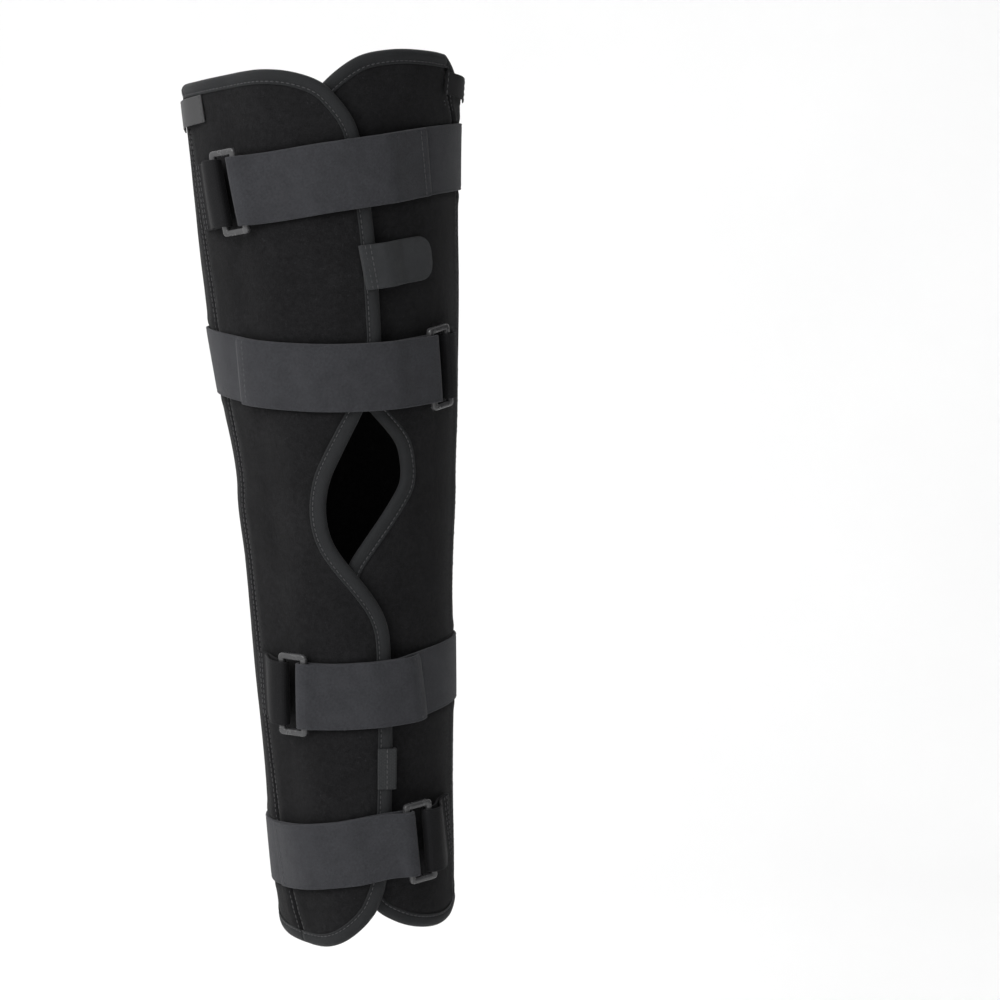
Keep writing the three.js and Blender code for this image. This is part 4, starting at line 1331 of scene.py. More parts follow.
# Edge tape
@dataclass
class EdgeTape:
    """Tape folded round the panels' edges, with a stitched groove along its inner edge."""

    leg: LegForm
    cut: WrapCut
    panels: PaddedPanels
    finish: WovenFinish
    step: float = 2.2
    groove: float = 5.9
    groove_level: float = 2.72
    flat_width: float = 0.0245
    seam_fade: float = 9.0
    seam_look: float = 8.0

    def section(self) -> Spots:
        """Return the tape's section: how far past the edge and how far off the pad's middle."""
        wide = self.cut.tape_width
        centre, round_out, high_out, round_in, high_in = -2.0, 3.4, 3.46, 2.4, 2.35
        upper = [(-wide, 2.12), (-wide - 0.02, 2.6), (-7.65, 2.95), (-6.95, 3.02), (-6.35, 2.9),
                 (-self.groove, self.groove_level - 0.1), (-5.4, 2.75), (-4.8, 3.12), (-3.7, 3.38),
                 (-2.6, high_out)]
        upper += [(centre + round_out * math.cos(math.radians(t)), high_out * math.sin(math.radians(t)))
                  for t in (80, 62, 44, 28, 13)]
        lower = [(s, -h) for s, h in reversed(upper)]
        inner = [(-5.0, -2.18), (centre, -high_in)]
        inner += [(centre + round_in * math.cos(math.radians(t)), high_in * math.sin(math.radians(t)))
                  for t in (-60, -30, 0, 30, 60)]
        inner += [(centre, high_in), (-5.0, 2.18)]
        return upper + [(1.4, 0.0)] + lower + inner

    def even_run(self, spots: Spots) -> Spots:
        """Return a run of spots set at even steps, with its corners eased."""
        lengths = [0.0]
        for (a0, z0), (a1, z1) in zip(spots, spots[1:]):
            lengths.append(lengths[-1] + math.hypot((a1 - a0) * self.leg.per_degree(z0), z1 - z0))
        count = round(lengths[-1] / self.step)
        at = np.linspace(0, lengths[-1], count + 1)
        angles = np.interp(at, lengths, [a for a, _ in spots])
        heights = np.interp(at, lengths, [z for _, z in spots])
        for _ in range(2):
            for values in (angles, heights):
                values[1:-1] = (values[:-2] + 2 * values[1:-1] + values[2:]) / 4
        return list(zip(angles.tolist(), heights.tolist()))

    def ways(self, run: Spots, ends: tuple[Callable[[float], float], ...],
             level: int) -> Spots:
        """Return the outward way of the edge at each spot of a run.

        Args:
            run: the run, which keeps the panel on its left hand.
            ends: the side seams that the tape's two ends lie along.
            level: 1 or -1 for a run folded straight up or down, else 0.

        Returns:
            For each spot, its way round and its way up.
        """
        reach = 2
        result = []
        for k, (_, z) in enumerate(run):
            (a0, z0), (a1, z1) = run[max(k - reach, 0)], run[min(k + reach, len(run) - 1)]
            around = (a1 - a0) * self.leg.per_degree(z)
            climb = z1 - z0
            long = math.hypot(around, climb)
            way = (0.0, float(level)) if level else (climb / long, -around / long)
            near_end = min(k, len(run) - 1 - k) * self.step
            share = ease(near_end / self.seam_fade)
            if share < 1:
                seam = ends[0] if k * 2 < len(run) else ends[1]
                sign = 1 if way[1] > 0 else -1
                look = self.seam_look
                slope = (seam(z) - seam(z - sign * look)) * self.leg.per_degree(z)
                along = math.hypot(slope, look)
                way = (mix(slope / along, way[0], share), mix(sign * look / along, way[1], share))
                long = math.hypot(*way)
                way = (way[0] / long, way[1] / long)
            result.append(way)
        return result

    def build(self, name: str, node: str, plan: PanelPlan, spots: Spots,
              ends: tuple[Callable[[float], float], ...], level: int, sewing: Sewing) -> Object:
        """Build the tape along one run of edge and add its stitches.

        Args:
            name: the piece's name.
            node: the node that it stands for.
            plan: the panel that it edges.
            spots: the run along the edge.
            ends: the side seams that its two ends lie along.
            level: 1 or -1 for a run folded straight up or down, else 0.
            sewing: where its stitches go.

        Returns:
            The tape.
        """
        run = self.even_run(spots)
        ways = self.ways(run, ends, level)
        section = self.section()
        middle = self.leg.wall / 2

        def point(k: int, past: float, high: float) -> Vector:
            """Return the point past the edge and off the pad's middle at a spot of the run."""
            (angle, z), way = run[k], ways[k]
            angle += past * way[0] / self.leg.per_degree(z)
            z += past * way[1]
            return self.leg.place(angle, z, plan.lift(angle, z) + middle + high)

        rings, flat = [], []
        around = [0.0]
        for here, there in zip(section, section[1:]):
            around.append(around[-1] + math.dist(here, there))
        for k in range(len(run)):
            rings.append([point(k, past, high) for past, high in section])
            flat.append([(k * self.step * MM, value * MM) for value in around])
        piece = loft(name, rings, self.material, flat)
        settle(piece, "edge_tape", node)
        for level_out in (self.groove_level, -self.groove_level):
            row = [point(k, -self.groove, level_out) for k in range(1, len(run) - 1)]
            sewing.add(row)
        return piece

    def make(self, sewing: Sewing) -> list[Object]:
        """Build the tape on all four runs of edge."""
        self.material = self.finish.material()
        over, under, back = self.panels.over, self.panels.under, self.panels.back
        count = 300
        shares = [k / count for k in range(count + 1)]
        left, right = self.cut.left_seam, self.cut.right_seam
        over_run = [over.spot(0.0, s) for s in shares] + [over.spot(s, 1.0) for s in shares[1:]]
        over_run += [over.spot(1.0, 1 - s) for s in shares[1:]]
        under_run = [under.spot(1.0, 1 - s) for s in shares] + [under.spot(1 - s, 0.0) for s in shares[1:]]
        under_run += [under.spot(0.0, s) for s in shares[1:]]
        top_run = [back.spot(1.0, 1 - s) for s in shares]
        bottom_run = [back.spot(0.0, s) for s in shares]

        def left_turned(z: float) -> float:
            """Return the left seam's angle, a whole turn on."""
            return left(z) + 360

        return [
            self.build("over_flap_tape", "over_flap_binding", over, over_run, (left, left), 0, sewing),
            self.build("under_flap_tape", "under_flap_binding", under, under_run, (right, right), 0, sewing),
            self.build("back_top_tape", "back_top_binding", back, top_run, (left_turned, right), 1, sewing),
            self.build("back_bottom_tape", "back_bottom_binding", back, bottom_run, (right, left_turned), -1,
                       sewing),
        ]


def band_profile(half: float, thick: float, lip: float) -> Spots:
    """Return the section of a flat band with round edges and a narrow woven-in selvedge.

    Args:
        half: half its width in millimetres.
        thick: its thickness.
        lip: depth of the fine line inside the selvedge.

    Returns:
        Spots of across and height, all the way round.
    """
    level = thick / 2
    side = [(half, 0.0), (half - 0.1, level * 0.5), (half - 0.35, level * 0.85), (half - 0.8, level),
            (half - 1.4, level - lip * 0.5), (half - 1.8, level - lip), (half - 2.3, level - lip * 0.4),
            (half - 3.2, level), (half * 0.6, level), (half * 0.3, level)]
    top = side + [(0.0, level)] + [(-across, high) for across, high in reversed(side)]
    bottom = [(across, -high) for across, high in reversed(top[1:-1])]
    return top + bottom


@dataclass
class StrapSet:
    """The four closings: straps, their loops and the webbing keepers."""

    closures: list[Closure]
    strap_finish: WovenFinish
    webbing_finish: WovenFinish
    loop_finish: PlasticFinish
    strap_step: float = 1.6
    lip: float = 0.16
    end_round: float = 2.2
    end_thin: float = 0.8
    curl: float = 0.25
    curl_long: float = 23.0
    row_steps: int = 20
    clear: float = 0.03

    def band(self, name: str, closure: Closure, run: Spots, half: float, thick: float,
             material: Material, rounded: tuple[bool, bool]) -> tuple[Object, float]:
        """Build a band along a run.

        Args:
            name: the piece's name.
            closure: the closing that it belongs to.
            run: spots of angle and distance out.
            half: half its width.
            thick: its thickness.
            material: its finish.
            rounded: whether its first and its last end have round corners.

        Returns:
            The band, and its length in millimetres.
        """
        spots = smooth_run(run, closure.unit, self.strap_step)
        profile = band_profile(half, thick, self.lip)
        lengths = [0.0]
        for (a0, o0), (a1, o1) in zip(spots, spots[1:]):
            lengths.append(lengths[-1] + math.hypot((a1 - a0) * closure.unit, o1 - o0))
        total = lengths[-1]
        rings, flat = [], []
        for k, (angle, out) in enumerate(spots):
            (a0, o0), (a1, o1) = spots[max(k - 1, 0)], spots[min(k + 1, len(spots) - 1)]
            along, climb = (a1 - a0) * closure.unit, o1 - o0
            long = math.hypot(along, climb)
            side = (-climb / long / closure.unit, along / long)
            near = min(lengths[k] if rounded[0] else total, total - lengths[k] if rounded[1] else total)
            into = held(1 - near / self.end_round)
            narrow = self.end_round * (1 - math.sqrt(max(0.0, 1 - into * into)))
            thin = 1 - 0.5 * held(1 - near / self.end_thin) ** 2
            wave = self.curl * noise.noise(Vector((lengths[k] / self.curl_long, closure.level * 9.0, half)))
            ring, laid = [], []
            for across, high in profile:
                share = across / half
                reach = across - math.copysign(narrow, across) * share * share if across else 0.0
                lift = high * thin + wave * share * share * (1 if side[1] > 0 else -1)
                ring.append(closure.on(angle + side[0] * lift, reach, out + side[1] * lift))
                laid.append((lengths[k] * MM, reach * MM))
            rings.append(ring)
            flat.append(laid)
        return loft(name, rings, material, flat), total

    def strap(self, k: int, closure: Closure, sewing: Sewing) -> Object:
        """Build a strap: from its sewn end round to the bar and back over itself.

        Args:
            k: the closing's number from the top.
            closure: the closing.
            sewing: where its stitches go.

        Returns:
            The strap.
        """
        turn = closure.turn(closure.strap_bar, closure.side.value, closure.strap_thick)
        run = closure.base[:-1] + turn + closure.folded[1:]
        piece, long = self.band(f"strap_{k}_band", closure, run, closure.strap_width / 2,
                                closure.strap_thick, self.strap_material, (True, True))
        settle(piece, "strap_fabric", f"strap_{k}")
        self.cross_row(sewing, closure)
        self.box(sewing, closure)
        return piece

    @staticmethod
    def level_at(run: Spots, angle: float) -> float:
        """Return a run's distance out at an angle."""
        spots = sorted(run)
        return float(np.interp(angle, [a for a, _ in spots], [o for _, o in spots]))

    def cross_row(self, sewing: Sewing, closure: Closure) -> None:
        """Add a row of stitches across a strap near its folded end."""
        inset, margin, clear = 6.5, 2.5, 0.02
        way = 1 if closure.end > closure.strap_bar else -1
        angle = closure.end - way * inset / closure.unit
        out = self.level_at(closure.folded, angle) + closure.strap_thick / 2 + clear
        reach = closure.strap_width / 2 - margin
        sewing.add(row_across(lambda across: closure.on(angle, across, out), reach, self.row_steps))

    def box(self, sewing: Sewing, closure: Closure) -> None:
        """Add a sewn box with a cross near a strap's sewn end."""
        run = closure.base
        way = 1 if run[0][0] + run[-1][0] > 2 * closure.sewn else -1
        margin, long, inset, step, cross_steps = 3.5, 24.0, 4.0, 2.0, 24
        reach = closure.strap_width / 2 - margin
        corners = [(inset, -reach), (inset + long, -reach), (inset + long, reach), (inset, reach)]

        def on_band(spots: Spots) -> list[Vector]:
            """Return spots of along and across as points on the band."""
            points = []
            for along, across in spots:
                angle = closure.sewn + way * along / closure.unit
                out = self.level_at(run, angle) + closure.strap_thick / 2 + self.clear
                points.append(closure.on(angle, across, out))
            return points

        sewing.add(on_band(dashed_outline(corners, step)))
        shares = [s / cross_steps for s in range(cross_steps + 1)]
        for start, stop in ((corners[0], corners[2]), (corners[1], corners[3])):
            slant = [(mix(start[0], stop[0], s), mix(start[1], stop[1], s)) for s in shares]
            sewing.add(on_band(slant))

    def keeper(self, k: int, closure: Closure, sewing: Sewing) -> Object:
        """Build a keeper: sewn to the side, round the loop's outer bar and back over itself.

        Args:
            k: the closing's number from the top.
            closure: the closing.
            sewing: where its stitches go.

        Returns:
            The keeper.
        """
        wrapped = closure.bar_half + closure.keeper_thick / 2
        low = closure.leg.wall + closure.strap_gap + closure.keeper_thick / 2
        high = low + closure.keeper_thick + closure.fit
        turn = closure.turn(closure.keeper_bar, -closure.side.value, closure.keeper_thick)
        past_bar = closure.bar_width / 2 + closure.fit
        start = closure.keeper_bar + closure.side.value * past_bar / closure.unit
        steps, settling, insets, margin = 10, 1.3, (3.0, 6.0), 2.0
        shares = [(s + 1) / steps for s in range(steps)]

        def run_to(near: float, far: float) -> Spots:
            """Return the run from the bar to the sewn end, from one level to another."""
            return [(mix(start, closure.keeper, s), mix(near, far, ease(s * settling))) for s in shares]

        upper = run_to(closure.bar_out + wrapped, high)
        run = list(reversed(run_to(closure.bar_out - wrapped, low))) + turn + upper
        piece, long = self.band(f"keeper_{k}_webbing", closure, run, closure.keeper_width / 2,
                                closure.keeper_thick, self.webbing_material, (False, False))
        settle(piece, "webbing", f"keeper_{k}")
        way = 1 if closure.keeper > closure.keeper_bar else -1
        reach = closure.keeper_width / 2 - margin
        for inset in insets:
            angle = closure.keeper - way * inset / closure.unit
            out = self.level_at(upper, angle) + closure.keeper_thick / 2 + self.clear
            sewing.add(row_across(lambda across: closure.on(angle, across, out), reach, self.row_steps))
        return piece

    def loop(self, k: int, closure: Closure) -> Object:
        """Build a rectangular plastic loop with softly rounded bars.

        Args:
            k: the closing's number from the top.
            closure: the closing.

        Returns:
            The loop.
        """
        half = (closure.loop_width / 2, closure.strap_width / 2 + closure.loop_play + closure.end_bar)
        hole = (half[0] - closure.bar_width, half[1] - closure.end_bar)
        sag = (half[0] - closure.bar_width / 2) ** 2 / 2 / (closure.skin + closure.bar_out)
        low = closure.on(closure.loop, -closure.strap_width / 2, closure.bar_out - sag)
        high = closure.on(closure.loop, closure.strap_width / 2, closure.bar_out - sag)
        middle = (low + high) / 2
        upward = (high - low).normalized()
        ahead, behind = (closure.on(closure.loop + turn, 0, closure.bar_out) for turn in (1, -1))
        along = ahead - behind
        outward_way = along.cross(upward).normalized()
        across = upward.cross(outward_way)
        corner_steps, section_steps, squareness = 8, 16, 0.55
        outer_round, inner_round = 2.6, 0.8
        rings = []
        for x, y, start in ((1, -1, -90), (1, 1, 0), (-1, 1, 90), (-1, -1, 180)):
            for s in range(corner_steps):
                way = math.radians(start + 90 * s / (corner_steps - 1))
                spot = (math.cos(way), math.sin(way))
                outer = (x * (half[0] - outer_round) + outer_round * spot[0],
                         y * (half[1] - outer_round) + outer_round * spot[1])
                inner = (x * (hole[0] - inner_round) + inner_round * spot[0],
                         y * (hole[1] - inner_round) + inner_round * spot[1])
                ring = []
                for step in range(section_steps):
                    turn = 2 * math.pi * step / section_steps
                    wide = math.copysign(abs(math.cos(turn)) ** squareness, math.cos(turn))
                    tall = math.copysign(abs(math.sin(turn)) ** squareness, math.sin(turn))
                    at = [mix(inner[c], outer[c], 0.5 + 0.5 * wide) * MM for c in (0, 1)]
                    rise = closure.bar_thick / 2 * tall * MM
                    ring.append(middle + across * at[0] + upward * at[1] + outward_way * rise)
                rings.append(ring)
        piece = loft(f"loop_{k}", rings, self.loop_material, capped=False)
        return settle(piece, "loop_plastic", f"buckle_{k}")

    def make(self, sewing: Sewing) -> list[Object]:
        """Build every strap, loop and keeper."""
        self.strap_material = self.strap_finish.material()
        self.webbing_material = self.webbing_finish.material()
        self.loop_material = self.loop_finish.material()
        pieces = []
        for k, closure in enumerate(self.closures, 1):
            pieces.append(self.strap(k, closure, sewing))
            pieces.append(self.loop(k, closure))
            pieces.append(self.keeper(k, closure, sewing))
        return pieces


@dataclass
class TabStation:
    """One station along a tab: how far along, distance out, half width and thickness."""

    along: float
    out: float
    half: float
    thick: float


class SideTabSpot(NamedTuple):
    """Place of a side tab, with its width, its lift over tape and how far its middle stands off."""

    side: Side
    start: float
    up: float
    tilt: float
    width: float
    lift: float
    stand: float


@dataclass
class Tabs:
    """The four sewn-on tabs: two on the over flap's edge and one at the top of each side seam."""

    leg: LegForm
    cut: WrapCut
    tab_finish: WovenFinish
    webbing_finish: WovenFinish
    satin_finish: WovenFinish
    folded_finish: WovenFinish
    upper_up: float = 0.515
    upper_start: float = 15.8
    upper_length: float = 52.5
    upper_width: float = 27.5
    upper_thick: float = 1.8
    upper_corner: float = 11.0
    upper_drop: float = 18.0
    upper_tilt: float = 7.0
    lower_up: float = -0.588
    lower_length: float = 10.5
    lower_width: float = 26.5
    lower_thick: float = 1.2
    lower_turn: float = 4.0
    side_length: float = 46.0
    side_thick: float = 1.0
    fit: float = 0.3
    gap: float = 0.6
    row_margin: float = 1.5
    row_steps: int = 16
    left_spot: SideTabSpot = SideTabSpot(Side.LEFT, start=-54.0, up=0.868, tilt=8.0, width=17.0, lift=0.0,
                                         stand=3.2)
    right_spot: SideTabSpot = SideTabSpot(Side.RIGHT, start=61.5, up=0.926, tilt=-6.0, width=14.0, lift=1.3,
                                          stand=1.2)

    def axes(self, angle: float, z: float, tilt: float,
             way: int = 1) -> Callable[[float, float, float], Vector]:
        """Return a function from a tab's own along, across and out to a point.

        Args:
            angle: where the tab starts.
            z: its middle's height.
            tilt: how far it climbs, in degrees.
            way: 1 where it runs toward larger angles, else -1.

        Returns:
            The function.
        """
        turn = math.radians(tilt)

        def at(along: float, across: float, out: float) -> Vector:
            """Return the point on the wrap."""
            around = way * along * math.cos(turn) - across * math.sin(turn)
            climb = way * along * math.sin(turn) + across * math.cos(turn)
            return self.leg.place(angle + around / self.leg.per_degree(z), z + climb, out)

        return at

    def build(self, name: str, node: str, slot: str, stations: list[TabStation],
              at: Callable[[float, float, float], Vector], material: Material,
              flat_size: tuple[float, float], area: float | None = None) -> Object:
        """Args:
            name: the piece's name.
            node: the node that it stands for.
            slot: its material slot, which is not used.
            stations: its stations from the start to the end.
            at: gives a point from the tab's own along, across and out.
            material: its finish.
            flat_size: its flat width and length in metres; not used.
            area: its flat area, where the cut isn't a rectangle; not used.

        Returns:
            The tab.
        """
        nominal, lip = 10.0, 0.12
        rings, flat = [], []
        for k, station in enumerate(stations):
            before, after = stations[max(k - 1, 0)], stations[min(k + 1, len(stations) - 1)]
            along, climb = after.along - before.along, after.out - before.out
            long = max(math.hypot(along, climb), 1e-6)
            ring, laid = [], []
            for across, high in band_profile(nominal, station.thick, lip):
                reach = across / nominal * station.half
                back, out = climb / long * high, along / long * high
                ring.append(at(station.along - back, reach, station.out + out))
                laid.append((station.along * MM, reach * MM))
            rings.append(ring)
            flat.append(laid)
        piece = loft(name, rings, material, flat)
        settle(piece, slot, node)
        return piece

    def upper(self, sewing: Sewing) -> Object:
        """Build the rounded tab that drops from the over flap's edge to the under flap."""
        z = self.leg.height(self.upper_up)
        high = self.leg.wall + self.cut.over_lift + self.cut.taped + self.fit + self.upper_thick / 2
        low = self.leg.wall + self.fit + self.gap + self.upper_thick / 2
        slant = self.upper_width * math.sin(math.radians(self.upper_tilt))
        edge = (self.cut.over_edge(z) - self.upper_start) * self.leg.per_degree(z) + self.cut.taped + slant
        hem, hem_thick, tip_from, tip_thin, count = 5.2, 1.35, 0.75, 0.55, 60
        stations = []
        for k in range(count + 1):
            along = self.upper_length * math.sin(math.pi / 2 * k / count)
            into = max(0.0, (along - (self.upper_length - self.upper_corner)) / self.upper_corner)
            half = self.upper_width / 2 - self.upper_corner * (1 - math.sqrt(max(0.0, 1 - into ** 2)))
            thinned = 1 - tip_thin * ease((into - tip_from) / (1 - tip_from))
            thick = self.upper_thick * (1.0 if along > hem else hem_thick) * thinned
            out = mix(high, low, ease((along - edge) / self.upper_drop))
            stations.append(TabStation(along, out, half, thick))
        at = self.axes(self.upper_start, z, self.upper_tilt)
        row = self.upper_width / 2 - self.row_margin
        out = high + 0.55 * self.upper_thick
        for along in (3.4, 6.4):
            sewing.add(row_across(lambda across: at(along, across, out), row, self.row_steps))
        area = (self.upper_length * self.upper_width - 0.43 * self.upper_corner ** 2) * MM * MM
        return self.build("upper_tab", "flap_tab_upper", "tab_fabric", stations, at, self.tab_material,
                          (self.upper_width * MM, self.upper_length * MM), area)

    def lower(self, sewing: Sewing) -> Object:
        """Build the small tab turned down over the over flap's edge."""
        z = self.leg.height(self.lower_up)
        edge = self.cut.taped + self.gap + self.lower_thick / 2
        reach = self.lower_width / 2
        slope = (self.cut.over_edge(z + reach) - self.cut.over_edge(z - reach)) * self.leg.per_degree(z)
        tilt = -math.degrees(math.atan(slope / self.lower_width))
        start = self.cut.over_edge(z) - (self.lower_length - edge) / self.leg.per_degree(z)
        high = self.leg.wall + self.cut.over_lift + self.cut.taped + self.fit + self.lower_thick / 2
        bend, level_steps, bend_steps, drop_steps, row_at = 1.2, 12, 6, 3, 5.2
        level = self.lower_length - bend
        spots = [(k / level_steps * level, high) for k in range(level_steps + 1)]
        for k in range(1, bend_steps + 1):
            turn = math.pi / 2 * k / bend_steps
            spots.append((level + bend * math.sin(turn), high - bend * (1 - math.cos(turn))))
        spots += [(self.lower_length, high - mix(bend, self.lower_turn, k / drop_steps))
                  for k in range(1, drop_steps + 1)]
        stations = [TabStation(along, out, reach, self.lower_thick) for along, out in spots]
        at = self.axes(start, z, tilt)
        row_out = high + self.lower_thick * 0.52
        row = row_across(lambda across: at(row_at, across, row_out), reach - self.row_margin, self.row_steps)
        sewing.add(row)
        long = self.lower_length + self.lower_turn
        return self.build("lower_tab", "flap_tab_lower", "webbing", stations, at, self.folded_material,
                          (long * MM, self.lower_width * MM))

    def side(self, name: str, node: str, slot: str, spot: SideTabSpot, material: Material,
             sewing: Sewing) -> Object:
        """Build a folded tab over the top of a side seam, standing a little proud at its middle.

        Args:
            name: the piece's name.
            node: the node that it stands for.
            slot: its material slot, which is not used.
            spot: where it is sewn.
            material: its finish.
            sewing: where its stitches go.

        Returns:
            The tab.
        """
        clear, count, row_inset, row_steps = 0.25, 40, 2.5, 10
        z = self.leg.height(spot.up)
        low = self.leg.wall + spot.lift + self.fit + self.side_thick / 2 + clear
        stations = []
        for k in range(count + 1):
            share = k / count
            out = low + spot.stand * math.sin(math.pi * share) ** 2
            stations.append(TabStation(self.side_length * share, out, spot.width / 2, self.side_thick))
        at = self.axes(spot.start, z, spot.tilt, spot.side.value)
        row = spot.width / 2 - self.row_margin
        for along in (row_inset, self.side_length - row_inset):
            out = low + spot.stand * math.sin(math.pi * along / self.side_length) ** 2
            out += self.side_thick * 0.52
            sewing.add(row_across(lambda across: at(along, across, out), row, row_steps))
        return self.build(name, node, slot, stations, at, material, (spot.width * MM, self.side_length * MM))

    def make(self, sewing: Sewing) -> list[Object]:
        """Build the four tabs."""
        self.tab_material = self.tab_finish.material()
        self.webbing_material = self.webbing_finish.material()
        self.satin_material = self.satin_finish.material()
        self.folded_material = self.folded_finish.material()
        return [
            self.upper(sewing),
            self.lower(sewing),
            self.side("left_side_tab", "side_tab_left", "satin_tape", self.left_spot, self.satin_material,
                      sewing),
            self.side("right_side_tab", "side_tab_right", "webbing", self.right_spot, self.webbing_material,
                      sewing),
        ]


# Studio. The worn wrap is held up, so the floor lies this far below it, in metres
FLOOR_DROP = 0.4


@dataclass
class Studio:
    """Pale floor with a curved back, soft lights and the camera at the photograph's angle."""

    floor_finish: FloorFinish
    floor_z: float
    eye: tuple[float, float, float] = (0.0986, -1.93, 0.20)
    aim: tuple[float, float, float] = (0.0986, 0.0, -0.010)
    lens: float = 108.7
    sky_strength: float = 0.92
    sky_slope: float = 0.65
    sky_dip: float = 0.25

    def floor(self) -> Object:
        """Build the floor, swept up behind the object."""
        half, front, back, bend, tall, steps = 3.0, -3.2, 2.5, 0.7, 3.2, 16
        line = [(front, 0.0), (back - bend, 0.0)]
        for k in range(1, steps + 1):
            turn = math.pi / 2 * k / steps
            line.append((back - bend + bend * math.sin(turn), bend * (1 - math.cos(turn))))
        line.append((back, tall))
        points = [(x, y, self.floor_z + z) for y, z in line for x in (-half, half)]
        faces = [(2 * k, 2 * k + 1, 2 * k + 3, 2 * k + 2) for k in range(len(line) - 1)]
        mesh = bpy.data.meshes.new("studio_floor")
        mesh.from_pydata(points, [], faces)
        mesh.materials.append(self.floor_finish.material())
        mesh.shade_smooth()
        floor = bpy.data.objects.new("studio_floor", mesh)
        bpy.context.scene.collection.objects.link(floor)
        return floor

    def light(self, name: str, place: tuple[float, float, float], size: float, power: float) -> None:
        """Add a square soft light that faces the object."""
        lamp = bpy.data.lights.new(name, "AREA")
        lamp.size = size
        lamp.energy = power
        holder = bpy.data.objects.new(name, lamp)
        holder.location = place
        holder.rotation_euler = (-Vector(place)).to_track_quat("-Z", "Y").to_euler()
        bpy.context.scene.collection.objects.link(holder)

    def camera(self) -> None:
        """Set the camera at the photograph's viewing angle."""
        lens = bpy.data.cameras.new("photo_camera")
        lens.lens = self.lens
        lens.sensor_width = 36.0
        holder = bpy.data.objects.new("photo_camera", lens)
        holder.location = self.eye
        holder.rotation_euler = (Vector(self.aim) - Vector(self.eye)).to_track_quat("-Z", "Y").to_euler()
        bpy.context.scene.collection.objects.link(holder)
        bpy.context.scene.camera = holder

    def make(self) -> None:
        """Set up the floor, the sky's light, the lamps and the camera."""
        self.floor()
        world = bpy.data.worlds.new("studio_air")
        world.use_nodes = True
        sky = world.node_tree.nodes["Background"]
        sky.inputs[0].default_value = (1.0, 1.0, 1.0, 1.0)
        w = Wiring(world.node_tree)
        way = w.add("ShaderNodeTexCoord").outputs["Generated"]
        sideways = w.add("ShaderNodeSeparateXYZ", {0: way}).outputs[0]
        falloff = w.math("ADD", w.math("MULTIPLY", sideways, -self.sky_slope),
                         w.math("MULTIPLY", w.math("ABSOLUTE", sideways), -self.sky_dip))
        strength = w.math("ADD", falloff, self.sky_strength)
        world.node_tree.links.new(strength, sky.inputs[1])
        bpy.context.scene.world = world
        bpy.context.scene.view_settings.view_transform = "Standard"
        self.light("key_light", (-1.3, -2.0, 1.3), 1.4, 36.0)
        self.light("back_fill", (-0.6, 1.1, 1.4), 1.4, 8.0)
        self.camera()


def make_closures(leg: LegForm, cut: WrapCut) -> list[Closure]:
    """Return the four closings from the top down, with their runs worked out."""
    closures = [
        Closure(leg, cut, Side.LEFT, level=0.71, rise=14, dip=0, skew=1.5,
                loop=-34.5, end=50, keeper=-61, sewn=256),
        Closure(leg, cut, Side.RIGHT, level=0.271, rise=0, dip=6.5, skew=0,
                loop=54, end=-42.5, keeper=72, sewn=-248),
        Closure(leg, cut, Side.LEFT, level=-0.427, rise=2.3, dip=5.5, skew=1,
                loop=-27.5, end=40, keeper=-60, sewn=256),
        Closure(leg, cut, Side.RIGHT, level=-0.771, rise=10, dip=0, skew=5,
                loop=33.2, end=-57, keeper=68, sewn=-248),
    ]
    for closure in closures:
        closure.solve()
    return closures


def bar_tack(leg: LegForm, cut: WrapCut, sewing: Sewing) -> None:
    """Add the zigzag bar of stitches beside the right seam, below its tab."""
    inset, low, high, count, clear = 7.5, 0.83, 0.885, 14, 0.35
    line = []
    for k in range(count + 1):
        z = leg.height(mix(low, high, k / count))
        line.append(leg.place(cut.right_seam(z) - inset / leg.per_degree(z), z, leg.wall + clear))
    angle = cut.right_seam(leg.height(low))
    sideways = leg.place(angle + 1, 0.0, 0.0) - leg.place(angle - 1, 0.0, 0.0)
    sewing.add(line, StitchKind.ZIGZAG, sideways)


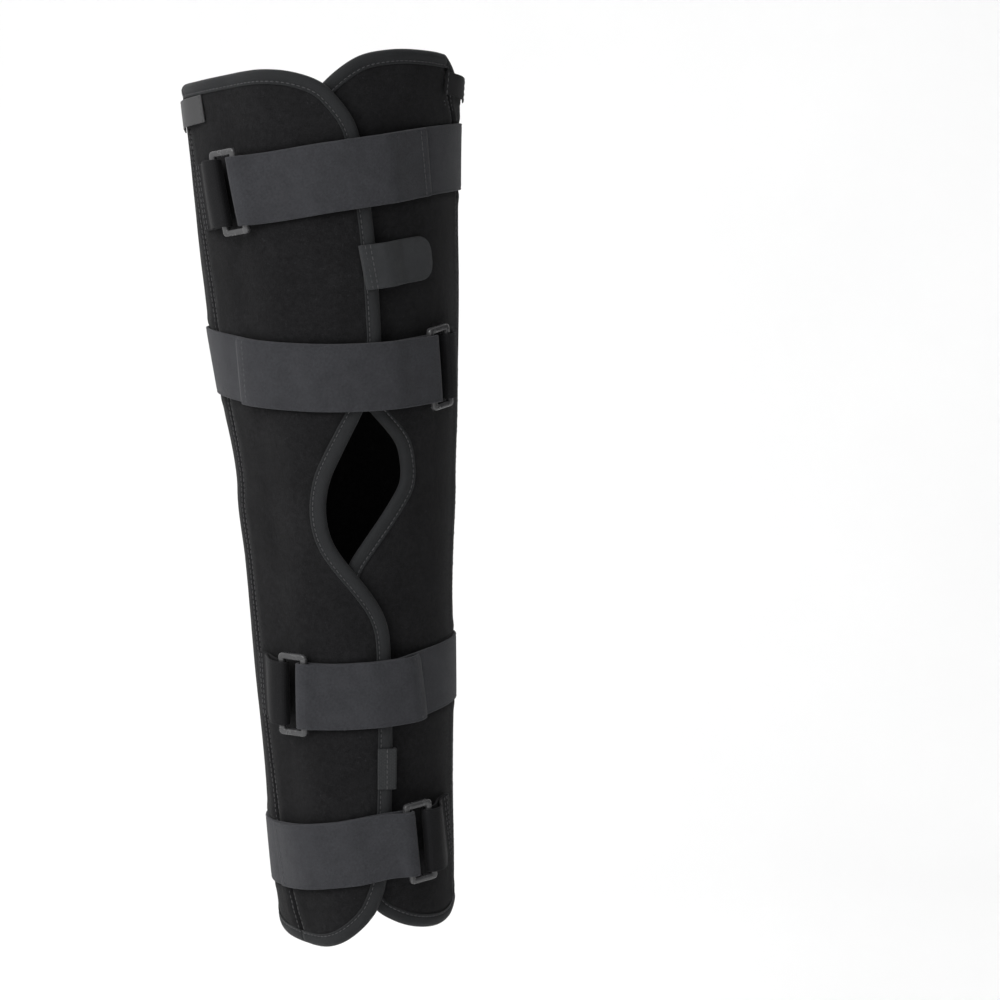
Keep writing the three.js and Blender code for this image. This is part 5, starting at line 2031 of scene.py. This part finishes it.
def main() -> None:
    """Build every piece in order and report it."""
    leg = LegForm()
    cut = WrapCut(leg)
    closures = make_closures(leg, cut)
    foam = FoamFinish("foam_laminate", 0x121213, 0x202021, 0.95, 0.04, 0.07)
    tape = WovenFinish("edge_tape", 0x191A1B, 0x292A2C, 0.8, 0.04, 0.2, rows=1500, cords=1300, nap=0.35)
    strap = WovenFinish("strap_fabric", 0x272729, 0x414246, 0.9, 0.08, 0.12, rows=1400, cords=1900,
                        grain=3000.0, nap=0.6, edge=0.1)
    webbing = WovenFinish("webbing", 0x101011, 0x1E1E20, 0.85, 0.03, 0.12, rows=900, cords=1000, nap=0.3,
                          edge=0.25, depth=0.0002)
    tab = WovenFinish("tab_fabric", 0x2B2C2D, 0x3E3F41, 0.9, 0.06, 0.12, rows=1500, cords=1500,
                      grain=3000.0, nap=0.6)
    satin = WovenFinish("satin_tape", 0x2A2A2B, 0x3C3C3D, 0.55, 0.05, 0.35, rows=1600, cords=1600, nap=0.3)
    folded = WovenFinish("folded_webbing", 0x262728, 0x3A3B3C, 0.85, 0.05, 0.15, rows=900, cords=1000,
                         nap=0.4)
    plastic = PlasticFinish("loop_plastic", 0x383839, 0x474748, 0.3, 0.0, 0.5)
    thread = ThreadFinish("sewing_thread", 0x39393A, 0x525254, 0.7, 0.05, 0.3)
    floor = FloorFinish("pale_floor", 0xFAFAFA, 0xFFFFFF, 0.9, 0.0, 0.2)
    sewing = Sewing(thread)
    panels = PaddedPanels(leg, cut, closures, foam)
    pieces = panels.make()
    panels.seam_lines(sewing)
    pieces += EdgeTape(leg, cut, panels, tape).make(sewing)
    pieces += StrapSet(closures, strap, webbing, plastic).make(sewing)
    pieces += Tabs(leg, cut, tab, webbing, satin, folded).make(sewing)
    bar_tack(leg, cut, sewing)
    pieces += sewing.make()
    for piece in pieces:
        LOG.info("%s: %d points, %d faces", piece.name, len(piece.data.vertices), len(piece.data.polygons))
    Studio(floor, CAD_BOX[0][2] - FLOOR_DROP).make()


if __name__ == "__main__":
    logging.basicConfig(level=logging.INFO)
    main()
